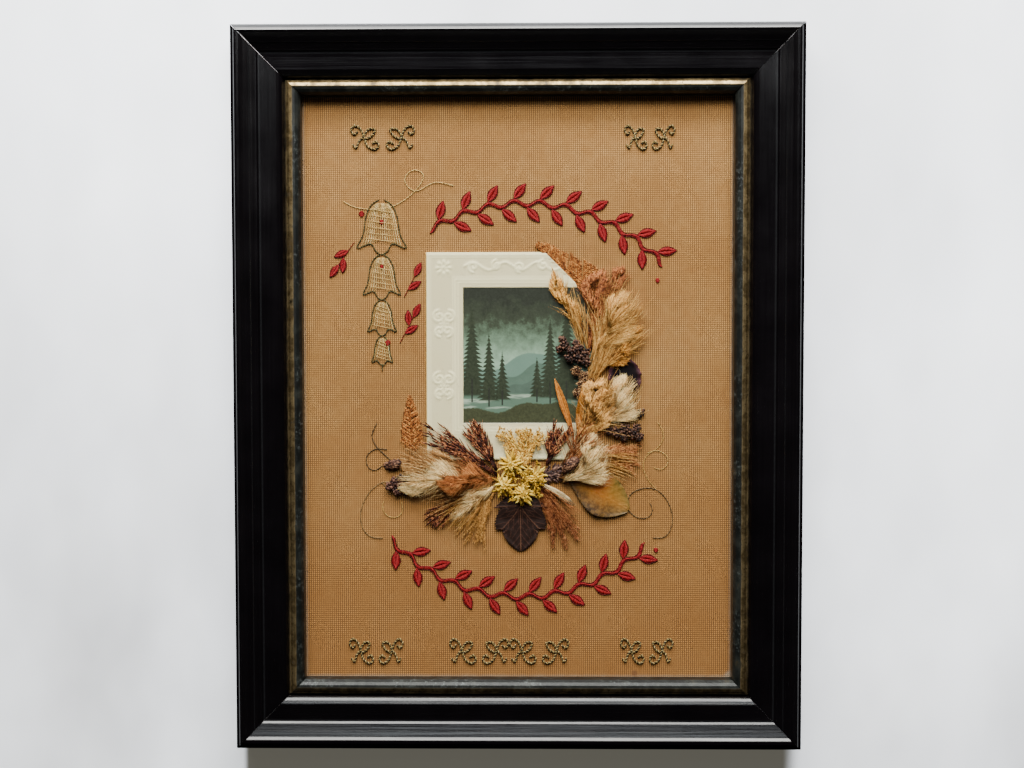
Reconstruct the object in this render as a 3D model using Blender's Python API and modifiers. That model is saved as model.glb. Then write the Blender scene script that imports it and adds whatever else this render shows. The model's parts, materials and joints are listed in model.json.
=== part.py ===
"""A stitched picture with a dried flower spray, in an ebonised moulded frame.

Millimetres in the tables, metres in the scene. X runs to the right, Z up, and the picture looks
along -Y. The origin is the middle of the flat back, which lies against the wall at Y = 0, so a
height is a distance off the wall.
"""
import math

import bmesh
import bpy
from mathutils import Vector
from mathutils.bvhtree import BVHTree

MM = 0.001
OBJECT_NAME = "framed_embroidery"

# Driving sizes
FRAME_WIDTH = 380.0
FRAME_HEIGHT = 484.0
REBATE = 28.0
LIP = 34.5
SIGHT = 45.0
BOARD_THICK = 3.0
GROUND_THICK = 2.0
SEAT = 0.3
SPRAY_SEAT = 0.4

GROUND_BACK = BOARD_THICK + SEAT
GROUND_FRONT = GROUND_BACK + GROUND_THICK
STITCH_THICK = 0.8
CARD_THICK = 1.2
WINDOW_DEEP = 0.4

# Moulding section: distance in from the outer edge, height off the wall
MOULDING = (
    (0.0, 0.0), (0.0, 20.0), (0.7, 22.6), (2.2, 25.2), (4.0, 26.9), (5.6, 27.6),
    (7.0, 27.1), (8.8, 25.9), (9.4, 25.5), (12.9, 23.9), (13.1, 23.3), (16.8, 21.7),
    (17.3, 21.6), (18.4, 20.5), (19.2, 20.3), (22.0, 20.2), (30.0, 20.2), (30.5, 20.0),
    (32.2, 19.1), (33.6, 17.8), (LIP, 16.3), (LIP, 13.2), (REBATE, 13.2), (REBATE, 0.0),
)

# Slip section: a half-round bead on a flange that the lip covers
SLIP_OUTER = REBATE + SEAT
SLIP_EDGE = LIP + SEAT
SLIP_BACK = GROUND_FRONT + SEAT
SLIP = (
    (SLIP_OUTER, SLIP_BACK), (SLIP_OUTER, 12.9), (SLIP_EDGE, 12.9), (SLIP_EDGE, 13.6),
    (36.0, 15.3), (37.8, 16.5), (39.8, 16.9), (41.8, 16.4), (43.6, 15.2), (SIGHT, 13.2),
    (SIGHT, SLIP_BACK),
)

# Card outline from its top left corner, clockwise: x, z. Its right side is cut round
CARD = (
    (-62.5, 92.5), (18.3, 92.5), (38.7, 72.0), (46.0, 58.0), (52.0, 38.0), (54.5, 18.0),
    (54.5, -48.5), (-62.5, -48.5),
)
WINDOW_LEFT = -36.9
WINDOW_RIGHT = 60.0
WINDOW_TOP = 68.5
WINDOW_BOTTOM = -23.3

# Garlands: middle of the arc x, z, radius, first and last angle in degrees, leaf pairs
GARLANDS = {
    "garland_upper": (5.0, 0.0, 125.5, 121.0, 42.0, 10),
    "garland_lower": (2.0, -22.0, 120.0, 222.0, 315.0, 11),
}
STEM_WIDE = 2.4
STEM_WAVE = 2.0
STEM_STEPS = 6
LEAF_LONG = 13.0
LEAF_WIDE = 6.5
LEAF_LEAN = 42.0
# Small leaf: share of its length, share of its width
LEAF_SHAPE = (
    (0.08, -0.12), (0.35, -0.45), (0.65, -0.42), (1.0, 0.0), (0.65, 0.42), (0.35, 0.45), (0.08, 0.12),
)

# Husk drop: middle x, then for each husk its top z, length, half width
HUSK_X = -92.0
HUSKS = ((128.0, 38.0, 17.0), (91.0, 31.5, 13.0), (60.5, 25.3, 10.0), (36.0, 21.0, 7.5))
HUSK_NECK = 2.0
HUSK_TIP = 3.0
# One side of a husk: share of its length down, share of its half width out
HUSK_SHAPE = (
    (0.0, 0.10), (0.10, 0.42), (0.30, 0.62), (0.62, 0.74), (0.86, 1.0), (0.80, 0.62), (0.78, 0.40),
    (0.90, 0.26),
)

STRAW = (0.62, 0.42, 0.20)
CREAM = (0.72, 0.60, 0.44)
RUSSET = (0.36, 0.15, 0.08)
ORANGE = (0.55, 0.25, 0.09)
DARK = (0.06, 0.03, 0.035)
GOLD = (0.70, 0.50, 0.18)
RED = (0.45, 0.03, 0.05)

# Plumes: name, root x, z, tip x, z, width, thickness, widest share, side bend, colour
PLUMES = (
    ("plume_straw", 44.5, 33.0, 26.0, 79.5, 9.5, 2.6, 0.65, 1.5, STRAW),
    ("plume_russet_low", 55.0, 58.0, 73.5, 79.0, 13.0, 3.0, 0.60, -1.0, RUSSET),
    ("plume_russet", 48.5, 24.0, 60.5, 80.5, 15.0, 3.4, 0.70, 2.0, RUSSET),
    ("plume_tan", 51.0, 22.0, 76.0, 60.0, 22.0, 4.0, 0.62, 2.5, STRAW),
    ("plume_gold", 54.0, 14.5, 84.0, 40.5, 14.0, 3.6, 0.60, -2.0, GOLD),
    ("plume_cream_upper", 54.0, -26.0, 76.0, 4.0, 18.0, 3.4, 0.60, -1.5, CREAM),
    ("plume_honey", 42.0, -35.0, 60.0, 4.5, 18.0, 4.0, 0.60, 1.0, GOLD),
    ("plume_cream_right", 31.0, -63.0, 55.0, -37.0, 22.0, 5.0, 0.55, -2.5, CREAM),
    ("plume_cream_left", -31.0, -56.5, -79.5, -45.5, 14.0, 3.4, 0.60, 2.0, CREAM),
    ("plume_cream_low", -27.0, -64.5, -77.5, -62.5, 15.5, 3.6, 0.60, -2.0, CREAM),
    ("plume_pale", -15.5, -65.0, -46.0, -84.5, 13.5, 3.4, 0.55, 2.0, CREAM),
    ("plume_orange", -14.0, -60.5, -53.0, -60.0, 14.0, 3.2, 0.60, 1.5, ORANGE),
    ("quill_white", 11.5, -62.5, 37.5, -78.5, 5.5, 2.6, 0.70, 1.0, CREAM),
    ("bud_left", -77.0, -49.0, -91.0, -52.5, 6.5, 2.8, 0.50, 0.5, DARK),
    ("bud_right", 30.0, -57.0, 40.5, -46.5, 7.5, 3.0, 0.50, 0.5, DARK),
    ("seeds_twig", 62.0, -22.5, 86.0, -14.5, 7.0, 2.8, 0.70, -0.5, DARK),
)

# Fans: name, root x, z, tip x, z, width at the tip, fingers, finger share, thickness, colour
FANS = (
    ("grass_tan", -16.0, -70.0, -36.0, -104.0, 29.0, 6, 0.30, 1.2, STRAW),
    ("grass_rust", 15.5, -66.0, 35.5, -107.0, 29.0, 6, 0.30, 1.4, RUSSET),
    ("grass_pink", 46.0, -42.5, 82.5, -47.0, 27.0, 6, 0.32, 1.4, ORANGE),
    ("spray_rust", -35.0, -68.0, -60.0, -92.0, 16.0, 4, 0.50, 1.4, RUSSET),
    ("spray_dark_left", -13.0, -59.0, -62.0, -26.0, 17.0, 4, 0.42, 1.6, RUSSET),
    ("spray_dark_mid", -14.0, -55.5, -32.0, -23.0, 15.0, 4, 0.48, 1.6, RUSSET),
    ("spray_dark_right", 19.5, -52.0, 29.0, -25.5, 17.0, 5, 0.48, 1.6, RUSSET),
    ("flowers_gold", 2.5, -55.0, 3.0, -27.0, 38.0, 5, 0.45, 2.0, GOLD),
    ("leaves_dark", 8.0, -60.0, 38.0, -56.0, 13.0, 4, 0.50, 1.4, DARK),
)

# Leaves: name, base x, z, tip x, z, width, widest share, teeth, tooth depth, cup, colour
LEAVES = (
    ("fern_left", -71.5, -43.5, -73.5, -4.0, 14.5, 0.10, 9, 0.22, 0.3, ORANGE),
    ("leaf_lobed", 1.5, -66.0, 2.0, -110.5, 38.0, 0.45, 3, 0.26, 1.2, DARK),
    ("leaf_oval", 36.0, -60.5, 75.5, -82.5, 29.0, 0.55, 0, 0.0, 1.2, GOLD),
    ("leaf_lance_left", 38.0, -32.0, 25.0, 7.0, 5.5, 0.55, 0, 0.0, 0.5, ORANGE),
    ("leaf_lance_right", 40.5, -31.0, 43.5, -1.0, 5.5, 0.55, 0, 0.0, 0.5, ORANGE),
    ("petal_purple", 69.5, 24.5, 75.5, -10.0, 23.0, 0.45, 0, 0.0, 2.2, DARK),
)
LEAF_THICK = 0.8
FERN_THICK = 1.0

# Right fern outline: x, z. It lies along the cut corner of the card
FERN_RIGHT = (
    (12.0, 98.0), (17.5, 99.5), (24.0, 98.0), (30.0, 97.5), (35.5, 94.0), (41.0, 93.5), (45.5, 89.0),
    (50.5, 88.0), (53.5, 83.0), (58.0, 80.0), (56.5, 74.0), (57.0, 66.0), (52.5, 62.0), (46.5, 60.5),
    (39.5, 73.0), (18.6, 93.4),
)

# Seed heads: name, then a ball for each row: x, z, radius; each touches one before it
SEED_HEADS = {
    "seeds_upper": (
        (31.5, 29.5, 3.4), (36.0, 26.0, 3.4), (41.0, 27.5, 3.4), (45.5, 24.0, 3.6), (40.5, 21.5, 3.6),
        (35.0, 21.0, 3.0), (46.0, 18.5, 3.4), (30.0, 33.5, 2.2), (39.0, 31.0, 2.2), (28.2, 26.8, 2.2),
    ),
    "flowers_brown": (
        (39.5, 12.0, 3.6), (44.5, 8.5, 3.8), (49.5, 5.0, 3.6), (43.5, 3.0, 3.6), (40.5, -2.5, 3.4),
        (46.8, -1.8, 3.6),
    ),
    "seeds_right": (
        (62.0, -28.5, 3.0), (67.0, -29.5, 3.4), (72.5, -27.5, 3.4), (77.5, -30.0, 3.6), (80.4, -26.3, 2.8),
        (82.0, -32.2, 3.0), (72.0, -32.5, 2.8),
    ),
    "berries": (
        (-70.5, -65.5, 2.8), (-75.0, -63.5, 3.0), (-79.5, -65.5, 3.2), (-84.0, -63.0, 3.0),
        (-87.0, -66.0, 2.8), (-82.0, -69.5, 2.8), (-76.5, -69.0, 2.8), (-79.8, -61.0, 2.6),
    ),
}
SEED_FLAT = 0.62

# Straw flower heads: x, z, radius, lean of the first point in degrees
STRAW_HEADS = (
    (-5.0, -51.5, 9.5, 10.0),
    (-9.0, -65.5, 8.0, 40.0),
    (3.0, -71.5, 8.5, 5.0),
    (12.0, -60.5, 8.5, 25.0),
)
STRAW_POINTS = 7
STRAW_THICK = 3.0

# Order in which the spray is laid, bottom first
LAYING = (
    "fern_left", "fern_right", "grass_tan", "grass_rust", "grass_pink", "leaf_lobed", "leaf_oval",
    "petal_purple", "plume_straw", "plume_russet_low", "seeds_twig", "seeds_right", "plume_russet",
    "plume_gold", "plume_tan", "plume_cream_upper", "seeds_upper", "flowers_brown", "leaf_lance_left",
    "leaf_lance_right", "plume_honey", "spray_dark_right", "leaves_dark", "plume_cream_right",
    "quill_white", "bud_right", "bud_left", "spray_rust", "plume_cream_left", "berries",
    "plume_cream_low", "plume_pale", "plume_orange", "spray_dark_left", "spray_dark_mid", "flowers_gold",
    "straw_head_1", "straw_head_2", "straw_head_3", "straw_head_4",
)
FLAT_PIECES = ("fern_right",) + tuple(row[0] for row in FANS)
STATIONS = 9
RISE = 0.32


def collection(name):
    found = bpy.data.collections.new(name)
    bpy.context.scene.collection.children.link(found)
    return found


def material(name, colour, roughness, metallic=0.0):
    """A Principled material, made once for each name."""
    if name in bpy.data.materials:
        return bpy.data.materials[name]
    made = bpy.data.materials.new(name)
    made.use_nodes = True
    shader = made.node_tree.nodes["Principled BSDF"]
    shader.inputs["Base Color"].default_value = (*colour, 1.0)
    shader.inputs["Roughness"].default_value = roughness
    shader.inputs["Metallic"].default_value = metallic
    return made


def add_mesh(name, mesh, home, finish, smooth=False):
    """Puts a mesh in the scene as one named sub-part."""
    mesh.materials.clear()
    mesh.materials.append(finish)
    piece = bpy.data.objects.new(name, mesh)
    home.objects.link(piece)
    if smooth:
        mesh.shade_smooth()
    return piece


def mesh_of(piece):
    """The evaluated mesh of a curve or a modified object, welded. The object is removed."""
    bpy.context.view_layer.update()
    evaluated = piece.evaluated_get(bpy.context.evaluated_depsgraph_get())
    mesh = bpy.data.meshes.new_from_object(evaluated)
    mesh.transform(piece.matrix_world)
    bpy.data.objects.remove(piece)
    work = bmesh.new()
    work.from_mesh(mesh)
    bmesh.ops.remove_doubles(work, verts=work.verts, dist=0.00001)
    bmesh.ops.recalc_face_normals(work, faces=work.faces)
    work.to_mesh(mesh)
    work.free()
    return mesh


def flat_outline(points, thick, home):
    """A plate of an outline given as x, z, with its middle plane on the wall plane."""
    curve = bpy.data.curves.new("outline", "CURVE")
    curve.dimensions = "2D"
    curve.fill_mode = "BOTH"
    curve.extrude = thick * MM / 2
    spline = curve.splines.new("POLY")
    spline.points.add(len(points) - 1)
    for point, (x, z) in zip(spline.points, points):
        point.co = (x * MM, z * MM, 0.0, 1.0)
    spline.use_cyclic_u = True
    plate = bpy.data.objects.new("outline", curve)
    home.objects.link(plate)
    plate.rotation_euler = (math.pi / 2, 0.0, 0.0)
    return mesh_of(plate)


def mitred_length(name, section, length, turn, reach, home, finish):
    """A length of moulding with both ends cut at 45 degrees, turned to its side of the frame."""
    work = bmesh.new()
    ends = []
    for side in (-1, 1):
        ring = []
        for inward, height in section:
            along = side * (length / 2 - inward)
            ring.append(work.verts.new((along * MM, -height * MM, -inward * MM)))
        ends.append(ring)
    for ring in ends:
        work.faces.new(ring)
    for here in range(len(section)):
        after = (here + 1) % len(section)
        work.faces.new((ends[0][here], ends[0][after], ends[1][after], ends[1][here]))
    bmesh.ops.recalc_face_normals(work, faces=work.faces)
    mesh = bpy.data.meshes.new(name)
    work.to_mesh(mesh)
    work.free()
    rail = add_mesh(name, mesh, home, finish)
    rail.rotation_euler = (0.0, turn, 0.0)
    rail.location = (reach * MM * math.sin(turn), 0.0, reach * MM * math.cos(turn))
    return rail


def frame_sides(word, section, home, finish):
    """The four mitred lengths of one section, a little apart at the mitres."""
    apart = SEAT / math.sqrt(2)
    sides = (
        ("top", FRAME_WIDTH, FRAME_HEIGHT / 2, 0.0),
        ("right", FRAME_HEIGHT, FRAME_WIDTH / 2, math.pi / 2),
        ("bottom", FRAME_WIDTH, FRAME_HEIGHT / 2, math.pi),
        ("left", FRAME_HEIGHT, FRAME_WIDTH / 2, -math.pi / 2),
    )
    for side, length, reach, turn in sides:
        mitred_length(f"{word}_{side}", section, length - 2 * apart, turn, reach, home, finish)


def sheet(name, margin, back, front, home, finish):
    """A flat rectangle inside the rebate."""
    bpy.ops.mesh.primitive_cube_add(size=1.0, location=(0.0, -(back + front) / 2 * MM, 0.0))
    piece = bpy.context.object
    piece.name = name
    piece.data.name = name
    wide = FRAME_WIDTH - 2 * margin
    high = FRAME_HEIGHT - 2 * margin
    piece.dimensions = (wide * MM, (front - back) * MM, high * MM)
    bpy.ops.object.transform_apply(location=False, rotation=False, scale=True)
    for owner in list(piece.users_collection):
        owner.objects.unlink(piece)
    home.objects.link(piece)
    piece.data.materials.append(finish)
    return piece


def card(home, cutters):
    """The embossed card, with the sunk window that holds the print."""
    plate = add_mesh("picture_card", flat_outline(CARD, CARD_THICK, home), home,
                     material("card_stock", (0.72, 0.70, 0.60), 0.7))
    middle = GROUND_FRONT + SEAT + CARD_THICK / 2
    plate.location = (0.0, -middle * MM, 0.0)
    front = middle + CARD_THICK / 2
    bpy.ops.mesh.primitive_cube_add(size=1.0)
    window = bpy.context.object
    window.name = "window_cutter"
    window.dimensions = ((WINDOW_RIGHT - WINDOW_LEFT) * MM, 2 * WINDOW_DEEP * MM,
                         (WINDOW_TOP - WINDOW_BOTTOM) * MM)
    window.location = ((WINDOW_RIGHT + WINDOW_LEFT) / 2 * MM, -front * MM,
                       (WINDOW_TOP + WINDOW_BOTTOM) / 2 * MM)
    window.hide_render = True
    window.display_type = "WIRE"
    for owner in list(window.users_collection):
        owner.objects.unlink(window)
    cutters.objects.link(window)
    cut = plate.modifiers.new("window", "BOOLEAN")
    cut.operation = "DIFFERENCE"
    cut.object = window
    return plate


def leaf_bump(base, out, along):
    """Outline points of one small leaf that leaves a stem at base."""
    lean = math.radians(LEAF_LEAN)
    axis = along * math.sin(lean) + out * math.cos(lean)
    across = along * math.cos(lean) - out * math.sin(lean)
    points = []
    for share, wide in LEAF_SHAPE:
        points.append(base + axis * (share * LEAF_LONG) + across * (wide * LEAF_WIDE))
    return points


def garland_outline(middle_x, middle_z, radius, first, last, pairs):
    """A wavy stem on an arc, with a leaf on each side in turn, as one closed outline."""
    steps = pairs * STEM_STEPS
    places = []
    for step in range(steps + 1):
        share = step / steps
        angle = math.radians(first + (last - first) * share)
        wave = -STEM_WAVE * math.cos(share * pairs * 2 * math.pi)
        out = Vector((math.cos(angle), math.sin(angle)))
        turning = -1.0 if last < first else 1.0
        along = Vector((-out.y, out.x)) * turning
        places.append((Vector((middle_x, middle_z)) + out * (radius + wave), out, along))
    sides = []
    for side in (1, -1):
        line = []
        for step, (point, out, along) in enumerate(places):
            thin = 0.35 if step in (0, steps) else 1.0
            edge = point + out * (side * STEM_WIDE / 2 * thin)
            leafy = step % STEM_STEPS == (STEM_STEPS // 2 if side > 0 else 0) and 0 < step < steps
            line.extend(leaf_bump(edge, out * side, along) if leafy else [edge])
        sides.append(line)
    return sides[0] + sides[1][::-1]


def husk_outline():
    """A string of bell-shaped husks, each with three points, down one middle line."""
    right = []
    for top, length, half in HUSKS:
        for down, out in HUSK_SHAPE:
            right.append((out * half, top - down * length))
        right.append((HUSK_NECK / 2, top - 0.96 * length))
    tip = HUSKS[-1][0] - HUSKS[-1][1] - HUSK_TIP
    right.append((0.4, tip))
    left = [(-x, z) for x, z in reversed(right)]
    return [(HUSK_X + x, z) for x, z in right + left]


def stitched(name, outline, colour, home):
    """A raised band of stitches on the ground."""
    points = [(point[0], point[1]) for point in outline]
    piece = add_mesh(name, flat_outline(points, STITCH_THICK, home), home,
                     material(name + "_thread", colour, 0.6))
    piece.location = (0.0, -(GROUND_FRONT + SEAT + STITCH_THICK / 2) * MM, 0.0)
    return piece


def taper(share, widest, tip_size):
    """How full a plume is at a share of its length, from 0 to 1."""
    if share < widest:
        return 0.22 + 0.78 * math.sin(share / widest * math.pi / 2) ** 1.3
    rest = (share - widest) / (1.0 - widest)
    return tip_size + (1.0 - tip_size) * math.cos(rest * math.pi / 2) ** 0.8


def plume(name, root_x, root_z, tip_x, tip_z, width, thick, widest, bend, colour, home):
    """A dried plume: a bent tapered curve, pressed flat."""
    root = Vector((root_x, root_z))
    along = Vector((tip_x, tip_z)) - root
    across = Vector((-along.y, along.x)).normalized()
    curve = bpy.data.curves.new(name, "CURVE")
    curve.dimensions = "3D"
    curve.bevel_depth = width / 2 * MM
    curve.bevel_resolution = 2
    curve.use_fill_caps = True
    spline = curve.splines.new("POLY")
    spline.points.add(STATIONS - 1)
    for number, point in enumerate(spline.points):
        share = number / (STATIONS - 1)
        place = root + along * share + across * (bend * math.sin(share * math.pi))
        lump = 1.0 + 0.07 * math.sin(number * 2.4 + root_x)
        point.co = (place.x * MM, 0.0, place.y * MM, 1.0)
        point.radius = taper(share, widest, 0.12) * lump
    piece = bpy.data.objects.new(name, curve)
    home.objects.link(piece)
    mesh = mesh_of(piece)
    for vertex in mesh.vertices:
        vertex.co.y *= thick / width
    return add_mesh(name, mesh, home, material("dried_" + name, colour, 0.8), smooth=True)


def fan(name, root_x, root_z, tip_x, tip_z, width, fingers, finger, thick, colour, home):
    """A fan of dried grass or a forked spray: a narrow root and a fingered end."""
    root = Vector((root_x, root_z))
    along = Vector((tip_x, tip_z)) - root
    across = Vector((-along.y, along.x)).normalized()
    outline = [root - across * 1.2]
    for number in range(fingers):
        place = (number + 0.5) / fingers - 0.5
        reach = 1.0 - 0.10 * (number % 2) - 0.35 * place * place
        outline.append(root + along * (reach * 0.97) + across * (width * (place - 0.18 / fingers)))
        outline.append(root + along * reach + across * (width * (place + 0.18 / fingers)))
        if number < fingers - 1:
            between = (number + 1.0) / fingers - 0.5
            notch = 1.0 - finger * (1.0 - 0.4 * abs(between))
            outline.append(root + along * notch + across * (width * between * notch))
    outline.append(root + across * 1.2)
    points = [(point.x, point.y) for point in outline]
    mesh = flat_outline(points, thick, home)
    return add_mesh(name, mesh, home, material("dried_" + name, colour, 0.8))


def leaf(name, base_x, base_z, tip_x, tip_z, width, widest, teeth, tooth, cup, colour, home):
    """A thin leaf: a grid drawn in to the leaf's outline and cupped, then thickened."""
    base = Vector((base_x, base_z))
    along = Vector((tip_x, tip_z)) - base
    across = Vector((-along.y, along.x)).normalized()
    rows = 10 if teeth == 0 else 4 * teeth + 2
    columns = 4
    work = bmesh.new()
    bmesh.ops.create_grid(work, x_segments=columns, y_segments=rows, size=1.0)
    for vertex in work.verts:
        share = (vertex.co.y + 1.0) / 2
        side = vertex.co.x
        full = taper(share, widest, 0.06)
        if teeth:
            full *= 1.0 - tooth * (1.0 - share * teeth % 1.0)
        place = base + along * share + across * (side * width / 2 * full)
        lift = cup * (side * full) ** 2 + cup * 0.5 * share ** 2
        vertex.co = (place.x * MM, -lift * MM, place.y * MM)
    mesh = bpy.data.meshes.new(name)
    work.to_mesh(mesh)
    work.free()
    shell = bpy.data.objects.new(name, mesh)
    home.objects.link(shell)
    thicken = shell.modifiers.new("thick", "SOLIDIFY")
    thicken.thickness = LEAF_THICK * MM
    thicken.offset = 0.0
    return add_mesh(name, mesh_of(shell), home, material("dried_" + name, colour, 0.7), smooth=False)


def score_across(mesh, root, tip):
    """Adds lines of points across a flat piece, one at each station, so that it can bend there."""
    work = bmesh.new()
    work.from_mesh(mesh)
    normal = Vector((tip.x - root.x, 0.0, tip.y - root.y))
    for number in range(1, STATIONS - 1):
        place = root.lerp(tip, number / (STATIONS - 1))
        bmesh.ops.bisect_plane(work, geom=work.verts[:] + work.edges[:] + work.faces[:],
                               plane_co=(place.x, 0.0, place.y), plane_no=normal, dist=0.000001)
    bmesh.ops.triangulate(work, faces=work.faces)
    work.to_mesh(mesh)
    work.free()


def seed_head(name, balls, home, cutters):
    """Seeds or small flower heads that touch, joined as one cluster."""
    made = []
    for number, (x, z, radius) in enumerate(balls):
        bpy.ops.mesh.primitive_uv_sphere_add(segments=8, ring_count=5, radius=radius * MM)
        ball = bpy.context.object
        ball.rotation_euler = (math.pi / 2, 0.0, 0.35 * number)
        bpy.ops.object.transform_apply(location=False, rotation=True, scale=False)
        ball.scale = (1.0, SEED_FLAT, 1.0)
        bpy.ops.object.transform_apply(location=False, rotation=False, scale=True)
        ball.location = (x * MM, -0.11 * MM * (number % 3), z * MM)
        for owner in list(ball.users_collection):
            owner.objects.unlink(ball)
        cutters.objects.link(ball)
        made.append(ball)
    for ball in made[1:]:
        join = made[0].modifiers.new("join", "BOOLEAN")
        join.operation = "UNION"
        join.object = ball
    mesh = mesh_of(made[0])
    for ball in made[1:]:
        bpy.data.objects.remove(ball)
    return add_mesh(name, mesh, home, material("dried_" + name, DARK, 0.6))


def straw_head(name, x, z, radius, lean, home):
    """A straw flower: a star of pointed bracts, domed to its middle."""
    work = bmesh.new()
    bmesh.ops.create_cone(work, cap_ends=True, cap_tris=True, segments=2 * STRAW_POINTS,
                          radius1=radius * MM, radius2=radius * 0.45 * MM, depth=STRAW_THICK * MM)
    for vertex in work.verts:
        angle = math.atan2(vertex.co.y, vertex.co.x)
        reach = math.hypot(vertex.co.x, vertex.co.y)
        point = math.cos((angle - math.pi / 2) * STRAW_POINTS) > 0.0
        if reach > radius * 0.2 * MM:
            vertex.co.x *= 1.0 if point else 0.62
            vertex.co.y *= 1.0 if point else 0.62
    mesh = bpy.data.meshes.new(name)
    work.to_mesh(mesh)
    work.free()
    head = bpy.data.objects.new(name, mesh)
    home.objects.link(head)
    head.rotation_euler = (math.pi / 2, math.radians(lean), 0.0)
    head.location = (x * MM, 0.0, z * MM)
    return add_mesh(name, mesh_of(head), home, material("dried_straw_head", GOLD, 0.7))


def tree_of(mesh):
    """A search tree and the corners of a mesh in world space."""
    corners = [vertex.co.copy() for vertex in mesh.vertices]
    faces = [tuple(face.vertices) for face in mesh.polygons]
    return BVHTree.FromPolygons(corners, faces), corners


def world_tree(piece):
    """The same for an object that has been placed."""
    bpy.context.view_layer.update()
    evaluated = piece.evaluated_get(bpy.context.evaluated_depsgraph_get())
    mesh = bpy.data.meshes.new_from_object(evaluated)
    mesh.transform(piece.matrix_world)
    found = tree_of(mesh)
    bpy.data.meshes.remove(mesh)
    return found


def lay_on(piece, root, tip, below):
    """Lays a piece on what lies under it, rising along its length only where it has to."""
    mesh = piece.data
    if piece.name in FLAT_PIECES:
        score_across(mesh, root, tip)
    tree, corners = tree_of(mesh)
    axis = tip - root
    long_squared = axis.length_squared
    needs = [0.0] * STATIONS
    front = Vector((0.0, -1.0, 0.0))
    back = Vector((0.0, 1.0, 0.0))

    def station(point):
        flat = Vector((point.x, point.z)) - root
        return min(max(flat.dot(axis) / long_squared, 0.0), 1.0) * (STATIONS - 1)

    def ask(point, lift):
        at = station(point)
        for number in (int(at), min(int(at) + 1, STATIONS - 1)):
            needs[number] = max(needs[number], lift)

    for other, others in below:
        for corner in corners:
            hit = other.ray_cast(Vector((corner.x, -0.2, corner.z)), back)[0]
            if hit:
                ask(corner, corner.y - hit.y)
        for corner in others:
            hit = tree.ray_cast(Vector((corner.x, 0.2, corner.z)), front)[0]
            if hit:
                ask(corner, hit.y - corner.y)
    pace = axis.length / (STATIONS - 1) * RISE
    lifts = []
    for here in range(STATIONS):
        lifts.append(max(need - pace * abs(here - there) for there, need in enumerate(needs)))
    for vertex in mesh.vertices:
        at = station(vertex.co)
        low = int(at)
        high = min(low + 1, STATIONS - 1)
        lift = lifts[low] + (lifts[high] - lifts[low]) * (at - low)
        vertex.co.y -= lift + SPRAY_SEAT * MM
    below.append(tree_of(mesh))


def lay_spray(below, pieces, axes):
    """Lays the whole spray, in its order."""
    for name in LAYING:
        root, tip = axes[name]
        lay_on(pieces[name], Vector(root) * MM, Vector(tip) * MM, below)


def make_spray(home, cutters):
    """Every piece of the dried spray, flat, with the line that each lies along."""
    pieces = {}
    axes = {}
    for row in PLUMES:
        pieces[row[0]] = plume(*row, home)
        axes[row[0]] = (row[1:3], row[3:5])
    for row in FANS:
        pieces[row[0]] = fan(*row, home)
        axes[row[0]] = (row[1:3], row[3:5])
    for row in LEAVES:
        pieces[row[0]] = leaf(*row, home)
        axes[row[0]] = (row[1:3], row[3:5])
    for name, balls in SEED_HEADS.items():
        pieces[name] = seed_head(name, balls, home, cutters)
        axes[name] = (balls[0][:2], balls[-1][:2])
    for number, (x, z, radius, lean) in enumerate(STRAW_HEADS, 1):
        name = f"straw_head_{number}"
        pieces[name] = straw_head(name, x, z, radius, lean, home)
        axes[name] = ((x - radius, z), (x + radius, z))
    pieces["fern_right"] = add_mesh("fern_right", flat_outline(FERN_RIGHT, FERN_THICK, home), home,
                                    material("dried_fern_right", ORANGE, 0.8))
    axes["fern_right"] = (FERN_RIGHT[0], FERN_RIGHT[9])
    return pieces, axes


def main():
    for old in list(bpy.data.objects):
        bpy.data.objects.remove(old)
    home = collection(OBJECT_NAME)
    cutters = collection("cutters")
    ebony = material("ebonised_wood", (0.012, 0.011, 0.012), 0.25)
    gilt = material("worn_gilt", (0.30, 0.24, 0.12), 0.4, 0.6)
    frame_sides("rail", MOULDING, home, ebony)
    frame_sides("slip", SLIP, home, gilt)
    sheet("back_board", REBATE + SEAT, 0.0, BOARD_THICK, home, material("board", (0.35, 0.25, 0.15), 0.8))
    ground = sheet("stitched_ground", REBATE + SEAT, GROUND_BACK, GROUND_FRONT, home,
                   material("ground_cloth", (0.50, 0.31, 0.14), 0.85))
    plate = card(home, cutters)
    bands = [stitched(name, garland_outline(*row), RED, home) for name, row in GARLANDS.items()]
    bands.append(stitched("husk_drop", husk_outline(), GOLD, home))
    pieces, axes = make_spray(home, cutters)
    below = [world_tree(piece) for piece in [ground, plate, *bands]]
    lay_spray(below, pieces, axes)


main()
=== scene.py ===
"""The looks of a stitched picture with a dried flower spray, in a black moulded frame.

Tables are in millimetres and the scene is in metres. X runs to the right, Z up, and the picture
looks along -Y, so a height is a distance off the wall. A share is a place along a piece, from 0 at
its root to 1 at its tip, and a lane is a place across it, from -1 at one edge to 1 at the other.
"""

import json
import math

import bmesh
import bpy
import numpy as np
from mathutils import Matrix, Vector
from mathutils.bvhtree import BVHTree


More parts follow.
